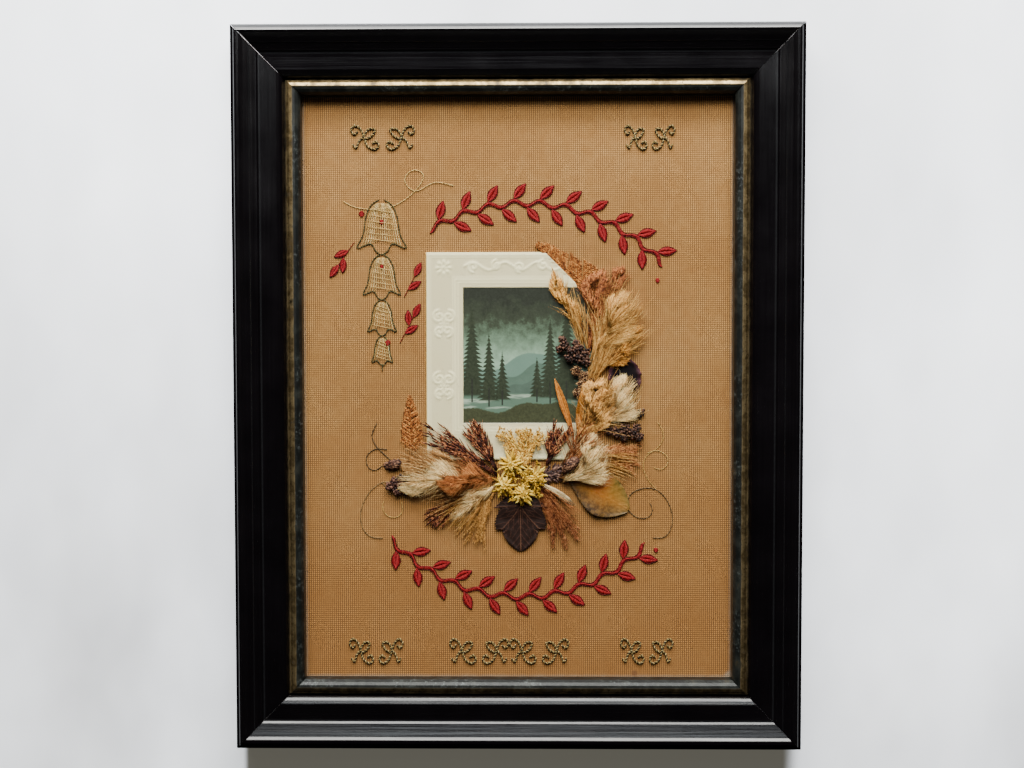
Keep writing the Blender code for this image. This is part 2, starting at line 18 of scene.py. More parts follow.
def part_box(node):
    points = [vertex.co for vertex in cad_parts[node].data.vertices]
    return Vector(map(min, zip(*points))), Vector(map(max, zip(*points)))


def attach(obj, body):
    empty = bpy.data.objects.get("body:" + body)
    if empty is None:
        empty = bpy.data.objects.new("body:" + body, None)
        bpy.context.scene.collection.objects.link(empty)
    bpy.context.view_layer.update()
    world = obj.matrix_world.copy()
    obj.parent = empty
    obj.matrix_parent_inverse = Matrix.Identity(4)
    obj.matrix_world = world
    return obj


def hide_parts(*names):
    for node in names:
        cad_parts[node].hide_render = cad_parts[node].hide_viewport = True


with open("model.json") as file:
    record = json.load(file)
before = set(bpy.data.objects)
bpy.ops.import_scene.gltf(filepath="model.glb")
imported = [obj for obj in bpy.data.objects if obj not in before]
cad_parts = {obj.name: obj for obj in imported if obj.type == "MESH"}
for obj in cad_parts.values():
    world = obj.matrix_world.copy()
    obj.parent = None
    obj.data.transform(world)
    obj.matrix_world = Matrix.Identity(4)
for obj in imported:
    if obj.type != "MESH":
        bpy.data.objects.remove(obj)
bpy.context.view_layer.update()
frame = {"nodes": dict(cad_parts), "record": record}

MM = 0.001
FRONT = np.array((0.0, -1.0, 0.0))

# The camera, solved from the frame's corners in the photograph
IMAGE_WIDE = 1024
SENSOR_WIDE = 36.0
FOCAL_PIXELS = 1158.6
CAMERA_PLACE = (6.07, -791.33, 32.0)
CAMERA_TURNS = ((90.0, "X"), (-0.076, "Z"), (0.725, "Y"), (-2.091, "X"))

# Sizes read from the frame
HALF_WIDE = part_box("rail_right")[1].x / MM
HALF_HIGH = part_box("rail_top")[1].z / MM
GROUND_FRONT = -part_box("stitched_ground")[0].y / MM
GROUND_BACK = -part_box("stitched_ground")[1].y / MM
CARD_FRONT = -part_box("picture_card")[0].y / MM
CARD_BACK = -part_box("picture_card")[1].y / MM

# Places in from the frame's outer edge: the sight, and the slip's outer edge and middle
SIGHT = 45.0
SLIP_EDGE = 35.9
BEAD_MIDDLE = 39.8
# Bands of the moulding, in from its outer edge: where it is matt, rubbed or dusty
RIM = 3.4
LOW_RIM = 7.8
SHOULDER = (5.2, 9.3)
FILLET = (13.1, 17.4)
DUSTY_GROOVES = (13.0, 19.0)
COVE = (17.6, 30.4)
# The height off the wall over which the polish is chipped
CHIPPED_ABOVE = 20.0
# One square of the ground's grid, a small stain's x, z, and x - z where the low right corner is hazy
GRID_PITCH = 1.41
STAIN = (79.6, -194.8)
HAZY_CORNER = 337.0

CARD_LEFT = -62.5
CARD_RIGHT = 54.5
CARD_TOP = 92.5
CARD_FOOT = -48.5
# The card, from its top left corner, clockwise: x, z
CARD = (
    (CARD_LEFT, CARD_TOP), (18.3, CARD_TOP), (38.7, 72.0), (46.0, 58.0), (52.0, 38.0),
    (CARD_RIGHT, 18.0), (CARD_RIGHT, CARD_FOOT), (CARD_LEFT, CARD_FOOT),
)
WINDOW_LEFT = -36.9
WINDOW_TOP = 68.5
WINDOW_BOTTOM = -23.3
WINDOW_DEEP = 0.4
# The embossed border: middle x of its left band, middle z of its top band, and how strong it is
BORDER_X = -50.0
BORDER_Z = 83.0
RELIEF = 1.5
# Rosettes on the left band: middle z, radius, petals, height
ROSETTES = ((82.0, 6.0, 8, 0.4), (44.0, 3.6, 6, 0.36), (2.0, 3.6, 6, 0.36), (-36.0, 6.0, 8, 0.36))

# Garlands: middle of the arc x, z, radius, first and last angle in degrees, leaf pairs
GARLANDS = {
    "garland_upper": (5.0, 0.0, 125.5, 121.0, 42.0, 10),
    "garland_lower": (2.0, -22.0, 120.0, 222.0, 315.0, 11),
}
STEM_WIDE = 2.4
STEM_WAVE = 2.0
# The dark thread round the garlands' stems and leaves: half thickness, shade
OUTLINE = (0.27, 0.06)
LEAF_LONG = 13.0
LEAF_WIDE = 6.5
LEAF_LEAN = 42.0
LEAF_SHARES = (0.0, 0.08, 0.35, 0.65, 1.0)
LEAF_FULL = (0.0, 0.12, 0.45, 0.42, 0.0)

# Husk drop: middle x, then for each husk its top z, length, half width
HUSK_X = -92.0
HUSKS = ((128.0, 38.0, 17.0), (91.0, 31.5, 13.0), (60.5, 25.3, 10.0), (36.0, 21.0, 7.5))
HUSK_SHAPE = (
    (0.0, 0.10), (0.10, 0.42), (0.30, 0.62), (0.62, 0.74), (0.86, 1.0), (0.80, 0.62), (0.78, 0.40),
    (0.90, 0.26),
)
# How wide a husk's filling is at places down it
HUSK_DOWN = (0.0, 0.10, 0.30, 0.62, 0.86)
HUSK_FULL = (0.10, 0.42, 0.62, 0.74, 0.92)
# The dark thread round the husks: half thickness, shade
HUSK_THREAD = (0.36, 0.45)

# Plumes: node, root x, z, tip x, z, width, widest share, side bend
PLUMES = {
    "plume_straw": (44.5, 33.0, 26.0, 79.5, 9.5, 0.65, 1.5),
    "plume_russet_low": (55.0, 58.0, 73.5, 79.0, 13.0, 0.60, -1.0),
    "plume_russet": (48.5, 24.0, 60.5, 80.5, 15.0, 0.70, 2.0),
    "plume_tan": (51.0, 22.0, 76.0, 60.0, 22.0, 0.62, 2.5),
    "plume_gold": (54.0, 14.5, 84.0, 40.5, 14.0, 0.60, -2.0),
    "plume_cream_upper": (54.0, -26.0, 76.0, 4.0, 18.0, 0.60, -1.5),
    "plume_honey": (42.0, -35.0, 60.0, 4.5, 18.0, 0.60, 1.0),
    "plume_cream_right": (31.0, -63.0, 55.0, -37.0, 22.0, 0.55, -2.5),
    "plume_cream_left": (-31.0, -56.5, -79.5, -45.5, 14.0, 0.60, 2.0),
    "plume_cream_low": (-27.0, -64.5, -77.5, -62.5, 15.5, 0.60, -2.0),
    "plume_pale": (-15.5, -65.0, -46.0, -84.5, 13.5, 0.55, 2.0),
    "plume_orange": (-14.0, -60.5, -53.0, -60.0, 14.0, 0.60, 1.5),
    "quill_white": (11.5, -62.5, 37.5, -78.5, 5.5, 0.70, 1.0),
    "bud_left": (-77.0, -49.0, -91.0, -52.5, 6.5, 0.50, 0.5),
    "bud_right": (30.0, -57.0, 40.5, -46.5, 7.5, 0.50, 0.5),
    "seeds_twig": (62.0, -22.5, 86.0, -14.5, 7.0, 0.70, -0.5),
}

# Fans: node, root x, z, tip x, z, width at the tip
FANS = {
    "grass_tan": (-16.0, -70.0, -36.0, -104.0, 29.0),
    "grass_rust": (15.5, -66.0, 35.5, -107.0, 29.0),
    "grass_pink": (46.0, -42.5, 82.5, -47.0, 27.0),
    "spray_rust": (-35.0, -68.0, -60.0, -92.0, 16.0),
    "spray_dark_left": (-13.0, -59.0, -62.0, -26.0, 17.0),
    "spray_dark_mid": (-14.0, -55.5, -32.0, -23.0, 15.0),
    "spray_dark_right": (19.5, -52.0, 29.0, -25.5, 17.0),
    "flowers_gold": (2.5, -55.0, 3.0, -27.0, 38.0),
    "leaves_dark": (8.0, -60.0, 38.0, -56.0, 13.0),
}

# Leaves: node, base x, z, tip x, z, width, widest share
LEAVES = {
    "fern_left": (-71.5, -43.5, -73.5, -4.0, 14.5, 0.10),
    "leaf_lobed": (1.5, -66.0, 2.0, -110.5, 38.0, 0.45),
    "leaf_oval": (36.0, -60.5, 75.5, -82.5, 29.0, 0.55),
    "leaf_lance_left": (38.0, -32.0, 25.0, 7.0, 5.5, 0.55),
    "leaf_lance_right": (40.5, -31.0, 43.5, -1.0, 5.5, 0.55),
    "petal_purple": (69.5, 24.5, 75.5, -10.0, 23.0, 0.45),
}
# The right fern lies behind the card's cut corner: root x, z, tip x, z, half width at the root
FERN_RIGHT = (54.0, 64.0, 12.0, 98.0, 15.5)

# Seed heads: node, then a ball for each row: x, z, radius
SEED_HEADS = {
    "seeds_upper": (
        (31.5, 29.5, 3.4), (36.0, 26.0, 3.4), (41.0, 27.5, 3.4), (45.5, 24.0, 3.6), (40.5, 21.5, 3.6),
        (35.0, 21.0, 3.0), (46.0, 18.5, 3.4), (30.0, 33.5, 2.2), (39.0, 31.0, 2.2), (28.2, 26.8, 2.2),
    ),
    "flowers_brown": (
        (39.5, 12.0, 3.6), (44.5, 8.5, 3.8), (49.5, 5.0, 3.6), (43.5, 3.0, 3.6), (40.5, -2.5, 3.4),
        (46.8, -1.8, 3.6),
    ),
    "seeds_right": (
        (62.0, -28.5, 3.0), (67.0, -29.5, 3.4), (72.5, -27.5, 3.4), (77.5, -30.0, 3.6), (80.4, -26.3, 2.8),
        (82.0, -32.2, 3.0), (72.0, -32.5, 2.8),
    ),
    "berries": (
        (-70.5, -65.5, 2.8), (-75.0, -63.5, 3.0), (-79.5, -65.5, 3.2), (-84.0, -63.0, 3.0),
        (-87.0, -66.0, 2.8), (-82.0, -69.5, 2.8), (-76.5, -69.0, 2.8), (-79.8, -61.0, 2.6),
    ),
}
# Straw flower heads: x, z, radius, lean of the first point in degrees
STRAW_HEADS = {
    "straw_head_1": (-5.0, -51.5, 9.5, 10.0),
    "straw_head_2": (-9.0, -65.5, 8.0, 40.0),
    "straw_head_3": (3.0, -71.5, 8.5, 5.0),
    "straw_head_4": (12.0, -60.5, 8.5, 25.0),
}
STRAW_POINTS = 7

SLOTS = {row["node"]: row["material_slot"] for row in frame["record"]["subparts"]}


def shade_of(red, green, blue):
    """A colour as the eye names it, 0 to 255, turned into the linear one that a shader takes."""
    linear = []
    for value in (red, green, blue):
        part = value / 255
        linear.append(part / 12.92 if part <= 0.04045 else ((part + 0.055) / 1.055) ** 2.4)
    return tuple(linear)


class Wire:
    """An output of a finish's nodes. A sum of wires adds its Math nodes."""

    def __init__(self, finish, socket):
        self.finish = finish
        self.socket = socket

    def maths(self, operation, *values):
        return self.finish.node("ShaderNodeMath", {"operation": operation}, dict(enumerate(values)))

    def __add__(self, other):
        return self.maths("ADD", self, other)

    __radd__ = __add__

    def __sub__(self, other):
        return self.maths("SUBTRACT", self, other)

    def __rsub__(self, other):
        return self.maths("SUBTRACT", other, self)

    def __mul__(self, other):
        return self.maths("MULTIPLY", self, other)

    __rmul__ = __mul__

    def __truediv__(self, other):
        return self.maths("DIVIDE", self, other)

    def __neg__(self):
        return self.maths("MULTIPLY", self, -1.0)

    def __abs__(self):
        return self.maths("ABSOLUTE", self)

    def least(self, other):
        return self.maths("MINIMUM", self, other)

    def most(self, other):
        return self.maths("MAXIMUM", self, other)

    def sine(self):
        return self.maths("SINE", self)

    def part(self):
        """What is left over a whole number."""
        return self.maths("FRACT", self)

    def held(self):
        """The value kept between 0 and 1."""
        return self.maths("MAXIMUM", 0.0, self).least(1.0)

    def above(self, edge, soft):
        """0 under the edge and 1 over it, with a soft step that wide on either side."""
        return self.finish.node(
            "ShaderNodeMapRange", {"interpolation_type": "SMOOTHSTEP"},
            {0: self, 1: edge - soft, 2: edge + soft, 3: 0.0, 4: 1.0})

    def below(self, edge, soft):
        return 1.0 - self.above(edge, soft)

    def near(self, middle, reach):
        """1 at the middle value, falling to 0 at that reach from it."""
        return (1.0 - abs(self - middle) / reach).held()


class Finish:
    """One procedural finish: a Principled shader and the nodes that feed it."""

    def __init__(self, name, **constants):
        self.material = bpy.data.materials.new(name)
        self.material.use_nodes = True
        self.tree = self.material.node_tree
        self.shader = self.tree.nodes["Principled BSDF"]
        for word, value in constants.items():
            self.shader.inputs[word.replace("_", " ").title().replace("Ior", "IOR")].default_value = value

    def node(self, kind, settings=None, sockets=None, output=0):
        """Adds a node: its settings first, then the values or wires of its sockets."""
        made = self.tree.nodes.new(kind)
        for word, value in (settings or {}).items():
            if word == "stops":
                self.set_stops(made.color_ramp, value)
            else:
                setattr(made, word, value)
        for word, value in (sockets or {}).items():
            self.feed(made.inputs[word], value)
        return Wire(self, made.outputs[output])

    def set_stops(self, ramp, stops):
        while len(ramp.elements) < len(stops):
            ramp.elements.new(1.0)
        for element, (place, colour) in zip(ramp.elements, stops):
            element.position = place
            element.color = (*colour, 1.0)

    def feed(self, socket, value):
        """Gives a socket a wire, a colour or a number."""
        if isinstance(value, Wire):
            self.tree.links.new(value.socket, socket)
        elif isinstance(value, tuple) and len(socket.default_value) == 4:
            socket.default_value = (*value, 1.0)
        else:
            socket.default_value = value

    def where(self, kind="ShaderNodeTexCoord", output=3):
        """The place on the picture, as x, height off the wall and z, in millimetres."""
        place = self.node(kind, output=output)
        parts = self.node("ShaderNodeSeparateXYZ", sockets={0: place})
        axes = [Wire(self, socket) / MM for socket in parts.socket.node.outputs]
        return axes[0], -axes[1], axes[2]

    def where_in_room(self):
        """The same place, for a piece that is turned or moved itself."""
        return self.where("ShaderNodeNewGeometry", 0)

    def noise(self, size, detail=2.0, stretch=(1.0, 1.0, 1.0), rough=0.5):
        """Clouds about that many millimetres across."""
        place = self.node("ShaderNodeTexCoord", output=3)
        spread = self.node("ShaderNodeVectorMath", {"operation": "MULTIPLY"}, {0: place, 1: stretch})
        return self.node("ShaderNodeTexNoise", sockets={
            "Vector": spread, "Scale": 1.0 / (size * MM), "Detail": detail, "Roughness": rough})

    def said(self, word):
        """A value that the mesh carries."""
        return self.node("ShaderNodeAttribute", {"attribute_name": word}, output=2)

    def mix(self, share, first, second):
        return self.node("ShaderNodeMix", {"data_type": "RGBA"}, {0: share, 6: first, 7: second}, output=2)

    def ramp(self, value, *stops):
        return self.node("ShaderNodeValToRGB", {"stops": stops}, {0: value})

    def colour(self, value):
        self.feed(self.shader.inputs["Base Color"], value)

    def rough(self, value):
        self.feed(self.shader.inputs["Roughness"], value)

    def metal(self, value):
        self.feed(self.shader.inputs["Metallic"], value)

    def bump(self, height, deep):
        """Raises the surface by the height's value times that many millimetres."""
        raised = self.node("ShaderNodeBump", sockets={
            "Strength": 1.0, "Distance": deep * MM, "Height": height})
        self.feed(self.shader.inputs["Normal"], raised)

    def blend(self, share, other):
        """Shows another shader in place of the first, by that share."""
        first = Wire(self, self.shader.outputs[0])
        shown = self.node("ShaderNodeMixShader", sockets={0: share, 1: first, 2: other})
        self.tree.links.new(shown.socket, self.tree.nodes["Material Output"].inputs[0])


def from_edges(x, z, start=0.0):
    """How far a place is in from the side edges, and from the top and bottom ones."""
    return HALF_WIDE - start - abs(x), HALF_HIGH - start - abs(z)


def black_polish():
    """Black polish: smudged gloss, chips and dust on the arrises, and the bare wood behind."""
    finish = Finish("black_polish", specular_ior_level=0.48)
    x, height, z = finish.where()
    side, end = from_edges(x, z)
    inward = side.least(end)
    top = (HALF_HIGH - z).below(RIM, 0.3)
    smudge = finish.noise(26.0, 4.0)
    speck = finish.noise(1.6, 5.0, rough=0.7)
    patch = finish.noise(22.0, 3.0)
    black = finish.mix(smudge, shade_of(3, 2, 3), shade_of(9, 6, 9))
    outer = inward.below(1.2, 0.8) * height.above(CHIPPED_ABOVE, 1.0)
    chips = (outer * patch.above(0.6, 0.06) * speck.above(0.5, 0.06)).held()
    dull = inward.below(3.2, 1.2) * top * 0.28
    across = (side - end).above(0.0, 0.3)
    level = finish.noise(1.7, 3.0, (0.02, 1.0, 1.0)) * across
    streak = level + finish.noise(1.7, 3.0, (1.0, 1.0, 0.02)) * (1.0 - across)
    worn = inward.above(SHOULDER[0], 0.4) * inward.below(SHOULDER[1], 2.4)
    worn = worn + inward.above(FILLET[0], 0.3) * inward.below(FILLET[1], 0.3) * 0.3
    scuffed = finish.mix(chips, black, shade_of(112, 114, 116))
    groove = inward.near(DUSTY_GROOVES[0], 0.4).most(inward.near(DUSTY_GROOVES[1], 0.8))
    dusty = finish.mix(groove * speck * 0.12, scuffed, shade_of(96, 102, 104))
    grain = finish.noise(3.0, 3.0, (0.2, 1.0, 1.0))
    bare = finish.mix(grain, shade_of(120, 92, 62), shade_of(168, 134, 94))
    behind = height.below(0.5, 0.35)
    skin = finish.mix(behind, dusty, bare)
    finish.colour(skin)
    finish.rough((0.08 + smudge * 0.16 + streak * 0.12 + dull * 0.8 + chips * 0.4 + behind * 0.6).held())
    finish.feed(finish.shader.inputs["Coat Weight"], (worn * (streak * 2.2 - 0.35)).held())
    finish.bump(smudge * 0.6 + speck * 0.1 + streak * 0.9 - chips * 1.2, 0.1)
    low = across * z.below(0.0, 1.0)
    high = across * z.above(0.0, 1.0)
    rim = (RIM + low * (LOW_RIM - RIM) - inward).above(0.0, 0.4) * (1.0 - high)
    cove = inward.above(COVE[0], 0.4) * inward.below(COVE[1], 0.4) * high
    matt = finish.node("ShaderNodeBsdfPrincipled", sockets={
        "Base Color": skin, "Roughness": 1.0, "Specular IOR Level": 0.0})
    finish.blend(rim + cove * 0.65, matt)
    return finish.material


def worn_gilt():
    """The slip: dull gold on the outer half, rubbed dark green with silver on the inner half."""
    finish = Finish("worn_gilt")
    x, _, z = finish.where()
    side, end = from_edges(x, z)
    inward = side.least(end)
    patch = finish.noise(9.0, 4.0, rough=0.65)
    speck = finish.noise(2.4, 4.0, rough=0.7)
    cloud = finish.noise(38.0, 2.0)
    gold = finish.ramp(patch, (0.3, shade_of(52, 45, 33)), (0.46, shade_of(138, 117, 80)),
                       (0.58, shade_of(196, 170, 122)), (0.74, shade_of(94, 82, 58)))
    dark = finish.ramp(patch, (0.3, shade_of(10, 11, 10)), (0.5, shade_of(24, 27, 25)),
                       (0.66, shade_of(44, 46, 42)), (0.82, shade_of(70, 58, 36)))
    silver = finish.mix(speck.above(0.6, 0.08) * cloud.above(0.5, 0.1) * 0.5, dark, shade_of(104, 110, 108))
    inner = (inward + patch * 1.6).above(BEAD_MIDDLE + 0.9, 0.7)
    # painted shade: the bottom slip's outer half, which faces down, is darkened almost to black
    low = (side - end).above(0.0, 0.6) * z.below(0.0, 1.0)
    rubbed = finish.mix(speck.above(0.62, 0.05) * patch.above(0.5, 0.1), gold, shade_of(34, 27, 18))
    both = finish.mix(inner, finish.mix(low * 0.72, rubbed, shade_of(26, 24, 22)), silver)
    edge = inward.below(SLIP_EDGE, 0.5)
    finish.colour(finish.mix(edge * 0.8, both, shade_of(24, 20, 16)))
    finish.metal((1.0 - inner * 0.6) * (1.0 - edge) * patch.above(0.34, 0.1) * 0.95)
    finish.rough((0.22 + speck * 0.24 + inner * 0.06).held())
    finish.bump(speck * 0.7 + patch * 0.6, 0.12)
    return finish.material


def bare_board():
    """The plain back board, sawn softwood gone brown."""
    finish = Finish("bare_board", roughness=0.85)
    streak = finish.noise(7.0, 4.0, (1.0, 1.0, 0.06))
    fibre = finish.noise(0.9, 2.0, (1.0, 1.0, 0.05))
    finish.colour(finish.ramp(streak * 0.75 + fibre * 0.25, (0.25, shade_of(104, 76, 48)),
                              (0.5, shade_of(142, 108, 70)), (0.75, shade_of(172, 138, 96))))
    finish.bump(fibre + streak, 0.15)
    return finish.material


def tan_ground():
    """The tan ground: an even grid of small squares, stains, and a pale haze along the sight and in a corner.
    """
    finish = Finish("tan_ground", roughness=0.88)
    x, _, z = finish.where()
    turn = 2 * math.pi / GRID_PITCH
    wander = finish.noise(30.0, 2.0) * 1.1
    squares_x = (x * turn + wander).sine() * 0.5 + 0.5
    squares_z = (z * turn + wander).sine() * 0.5 + 0.5
    fibre = finish.noise(0.7, 3.0, rough=0.7)
    cloud = finish.noise(60.0, 3.0)
    mottle = finish.noise(6.0, 4.0)
    weave = squares_x * (squares_z * 0.5 + 0.5)
    holes = (weave * 1.1 + fibre * 0.35).held()
    base = finish.ramp(cloud * 0.6 + mottle * 0.4, (0.3, shade_of(175, 121, 57)),
                       (0.5, shade_of(188, 135, 70)), (0.7, shade_of(201, 150, 85)))
    low = (-z).above(90.0, 110.0)
    warm = finish.mix(low * 0.5, base, shade_of(175, 115, 51))
    square = finish.mix((1.0 - holes) * 0.9, warm, shade_of(52, 28, 9))
    side, end = from_edges(x, z, SIGHT)
    margin = side.least(end)
    corner = (x - z).above(HAZY_CORNER, 2.5)
    haze = (margin.below(0.8, 1.6) * (0.1 + mottle * 0.6)).most(corner * 0.7)
    hazy = finish.mix((haze * 0.6).held(), square, shade_of(176, 174, 162))
    spot_x = x - STAIN[0]
    spot_z = z - STAIN[1]
    spot = (spot_x * spot_x + spot_z * spot_z).below(4.0, 3.0)
    finish.colour(finish.mix(spot * 0.55, hazy, shade_of(96, 60, 34)))
    finish.bump(weave + fibre * 0.4, 0.35)
    return finish.material


def cream_card():
    """The card's stock: cream with faint foxing, painted shade in its hollows, golden-brown left edge and
    sides.
    """
    finish = Finish("cream_card", roughness=0.62)
    x, height, _ = finish.where()
    cloud = finish.noise(16.0, 4.0)
    fox = finish.noise(3.0, 3.0).above(0.68, 0.05)
    base = finish.mix(cloud, shade_of(242, 232, 176), shade_of(249, 242, 194))
    foxed = finish.mix(fox * 0.25, base, shade_of(196, 172, 130))
    # painted shade: the card is darker where it lies low and lighter on its raised embossing
    hollow = height.below(CARD_FRONT + 0.02, 0.2)
    hollow_shaded = finish.mix(hollow * 0.5, foxed, shade_of(188, 172, 130))
    # a golden-brown line along the left edge and over the card's sides
    edge = (x - CARD_LEFT).below(0.9, 0.3).most(height.below(CARD_FRONT - 0.7, 0.15))
    finish.colour(finish.mix(edge * 0.9, hollow_shaded, shade_of(190, 140, 62)))
    finish.bump(finish.noise(0.8, 3.0) * 0.5, 0.08)
    return finish.material


# Fir trees in the print: middle x, foot z, height, half width
FIRS = (
    (-31.0, -6.0, 66.0, 12.0), (-19.5, -9.0, 50.0, 9.5), (-10.5, -8.0, 36.0, 7.5),
    (22.0, -7.0, 58.0, 10.5), (33.0, -9.0, 72.0, 13.5), (13.0, -6.0, 30.0, 6.5),
)
# Hills in the print: middle height z, swell, its turn in radians for a millimetre, colour
HILLS = (
    (20.0, 6.0, 0.062, (92, 122, 106)),
    (11.0, 5.0, 0.094, (58, 80, 66)),
    (3.0, 3.0, 0.13, (34, 48, 38)),
)


def misty_print():
    """A plain printed view: hills in mist over still water, with firs and a dark bank."""
    finish = Finish("misty_print", roughness=0.32)
    x, _, z = finish.where()
    cloud = finish.noise(15.0, 4.0)
    fine = finish.noise(1.5, 4.0, rough=0.7)
    crown = finish.noise(5.0, 5.0, rough=0.72)
    tall = (z + 24.0) / 92.0
    seen = finish.ramp(tall + cloud * 0.2 + crown * tall * 0.7 - 0.4, (0.0, shade_of(80, 104, 88)),
                       (0.3, shade_of(146, 176, 150)), (0.5, shade_of(106, 132, 108)),
                       (0.74, shade_of(44, 52, 36)), (0.95, shade_of(22, 26, 16)))
    for level, swell, pace, colour in HILLS:
        line = level + (x * pace).sine() * swell + (x * pace * 2.7 + level).sine() * (swell * 0.4)
        hill = (line + fine * 1.6 - z).above(0.8, 0.5)
        mist = finish.mix(cloud * 0.4, shade_of(*colour), shade_of(128, 160, 142))
        seen = finish.mix(hill, seen, mist)
    water = z.below(-3.0, 0.5)
    glint = finish.noise(4.0, 3.0, (0.16, 1.0, 1.0)).above(0.58, 0.06)
    lake = finish.mix(glint * 0.7, shade_of(84, 110, 92), shade_of(182, 200, 176))
    seen = finish.mix(water, seen, lake)
    for middle, foot, high, half in FIRS:
        up = (z - foot) / high
        branch = (up * (high * 0.34)).part()
        reach = (1.0 - up) * half * (0.62 + branch * -0.5 + 0.38) + fine * 2.2 - 1.2
        leafy = (reach - abs(x - middle)).above(0.35, 0.35) * up.above(0.02, 0.02) * up.below(1.0, 0.01)
        tone = finish.mix(fine, shade_of(8, 14, 8), shade_of(46, 56, 32))
        seen = finish.mix(leafy, seen, tone)
        trunk = (0.5 - abs(x - middle)).above(0.0, 0.2) * (z - foot).above(-3.0, 0.4) * up.below(0.2, 0.02)
        seen = finish.mix(trunk, seen, shade_of(22, 22, 18))
    bank_line = (x * 0.08).sine() * 3.2 + (x * 0.21 + 1.0).sine() * 1.4 - 12.0
    bank = (bank_line + fine * 3.0 - z).above(1.5, 0.5)
    grass = finish.mix(fine, shade_of(10, 14, 8), shade_of(70, 74, 40))
    seen = finish.mix(bank, seen, grass)
    finish.colour(finish.mix(fine * 0.07, seen, shade_of(196, 204, 184)))
    finish.bump(fine * 0.3, 0.03)
    return finish.material


def fibres(name, dark, middle, light, roughness=0.75, shine=0.2, spread=0.35, mottle=1.0):
    """Dried or dyed fibres: each has its own shade, grows lighter to its tip, and lies in clumps."""
    finish = Finish(name, specular_ior_level=shine, roughness=roughness)
    fleck = finish.noise(1.2, 2.0, rough=0.6)
    clump = finish.noise(2.6, 2.0) - 0.5
    value = finish.said("shade") * (1.0 - spread) + finish.said("along") * spread
    value = value * 0.92 + ((fleck - 0.5) * 2.0 + clump) * mottle + 0.02
    finish.colour(finish.ramp(value, (0.12, shade_of(*dark)), (0.5, shade_of(*middle)),
                              (0.88, shade_of(*light))))
    finish.bump(fleck, 0.05)
    return finish.material


class Heap:
    """Corners, faces and shades gathered for one piece."""

    def __init__(self):
        self.corners = []
        self.faces = []
        self.shade = []
        self.along = []
        self.count = 0

    def take(self, corners, faces, shade, along):
        """Adds corners in metres, with faces that already count those before them."""
        self.corners.append(corners)
        self.faces.extend(faces)
        self.shade.append(shade)
        self.along.append(along)
        self.count += len(corners)

    def tubes(self, paths, wide, thick, sides, shade=0.5, along=None):
        """Closed tubes on paths of (tubes, points, 3) metres, with half widths in millimetres."""
        paths = np.asarray(paths, float)
        many, long = paths.shape[:2]
        wide = np.broadcast_to(wide, (many, long))[..., None, None] * MM
        thick = np.broadcast_to(thick, (many, long))[..., None, None] * MM
        tangent = np.gradient(paths, axis=1)
        tangent = tangent / (np.linalg.norm(tangent, axis=2, keepdims=True) + 1e-12)
        across = np.cross(tangent, FRONT)
        across = across / (np.linalg.norm(across, axis=2, keepdims=True) + 1e-12)
        up = np.cross(across, tangent)
        angles = math.pi / 2 + np.arange(sides) * 2 * math.pi / sides
        ring = paths[:, :, None] + across[:, :, None] * wide * np.cos(angles)[:, None]
        ring = ring + up[:, :, None] * thick * np.sin(angles)[:, None]
        first = np.arange(many)[:, None, None] * long + np.arange(long - 1)[None, :, None]
        first = self.count + first * sides
        here = np.arange(sides)[None, None, :]
        after = (here + 1) % sides
        walls = np.stack((first + here, first + sides + here, first + sides + after, first + after), -1)
        starts = self.count + np.arange(many)[:, None] * long * sides + np.arange(sides)
        ends = (starts + (long - 1) * sides)[:, ::-1]
        faces = walls.reshape(-1, 4).tolist() + starts.tolist() + ends.tolist()
        along = np.linspace(0.0, 1.0, long) if along is None else along
        shade = np.asarray(shade, float)
        shade = shade[:, None] if shade.ndim == 1 else shade
        self.take(ring.reshape(-1, 3), faces, self.spread(shade, many, long, sides),
                  self.spread(along, many, long, sides))

    def spread(self, values, many, long, sides):
        """One value for each corner of every tube."""
        return np.repeat(np.broadcast_to(values, (many, long)).ravel(), sides)

    def slab(self, top, thick, shade, along):
        """A closed thin sheet under a grid of points that runs along and then across."""
        rows, columns = top.shape[:2]
        size = rows * columns
        index = self.count + np.arange(size).reshape(rows, columns)
        upper = np.stack((index[:-1, :-1], index[1:, :-1], index[1:, 1:], index[:-1, 1:]), -1)
        upper = upper.reshape(-1, 4)
        rim = np.concatenate((index[:, 0], index[-1, 1:], index[-2::-1, -1], index[0, -2:0:-1]))
        after = np.roll(rim, -1)
        walls = np.stack((after, rim, rim + size, after + size), -1)
        faces = upper.tolist() + (upper[:, ::-1] + size).tolist() + walls.tolist()
        under = top - FRONT * (thick * MM)
        both = np.concatenate((top.reshape(-1, 3), under.reshape(-1, 3)))
        self.take(both, faces, np.tile(np.broadcast_to(shade, (rows, columns)).ravel(), 2),
                  np.tile(np.broadcast_to(along, (rows, columns)).ravel(), 2))

    def balls(self, centres, radius, flat=1.0, sides=6, shade=0.5):
        """Small round bodies at places in metres, with radii in millimetres."""
        turns = np.linspace(0.12, math.pi - 0.12, 5)
        radius = np.broadcast_to(radius, (len(centres),))[:, None]
        paths = np.repeat(centres[:, None], len(turns), axis=1)
        paths[:, :, 2] -= radius * np.cos(turns) * MM
        full = radius * np.sin(turns)
        self.tubes(paths, full, full * flat, sides, shade)

    def piece(self, name, finish):
        """The heap as one object, with its shades and its finish."""
        mesh = bpy.data.meshes.new(name)
        mesh.from_pydata(np.concatenate(self.corners).tolist(), [], self.faces)
        for word, values in (("shade", self.shade), ("along", self.along)):
            carried = mesh.attributes.new(word, "FLOAT", "POINT")
            carried.data.foreach_set("value", np.concatenate(values).astype(np.float32))
        mesh.materials.append(finish)
        mesh.shade_smooth()
        return show(bpy.data.objects.new(name, mesh))


def show(piece):
    """Puts a new piece in the picture."""
    bpy.context.scene.collection.objects.link(piece)
    return piece


def settle(piece, slot=None, *nodes):
    """Fixes a piece to the picture, with the solids that it stands for; its slot is not used."""
    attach(piece, "root")
    if nodes:
        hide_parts(*nodes)
    return piece


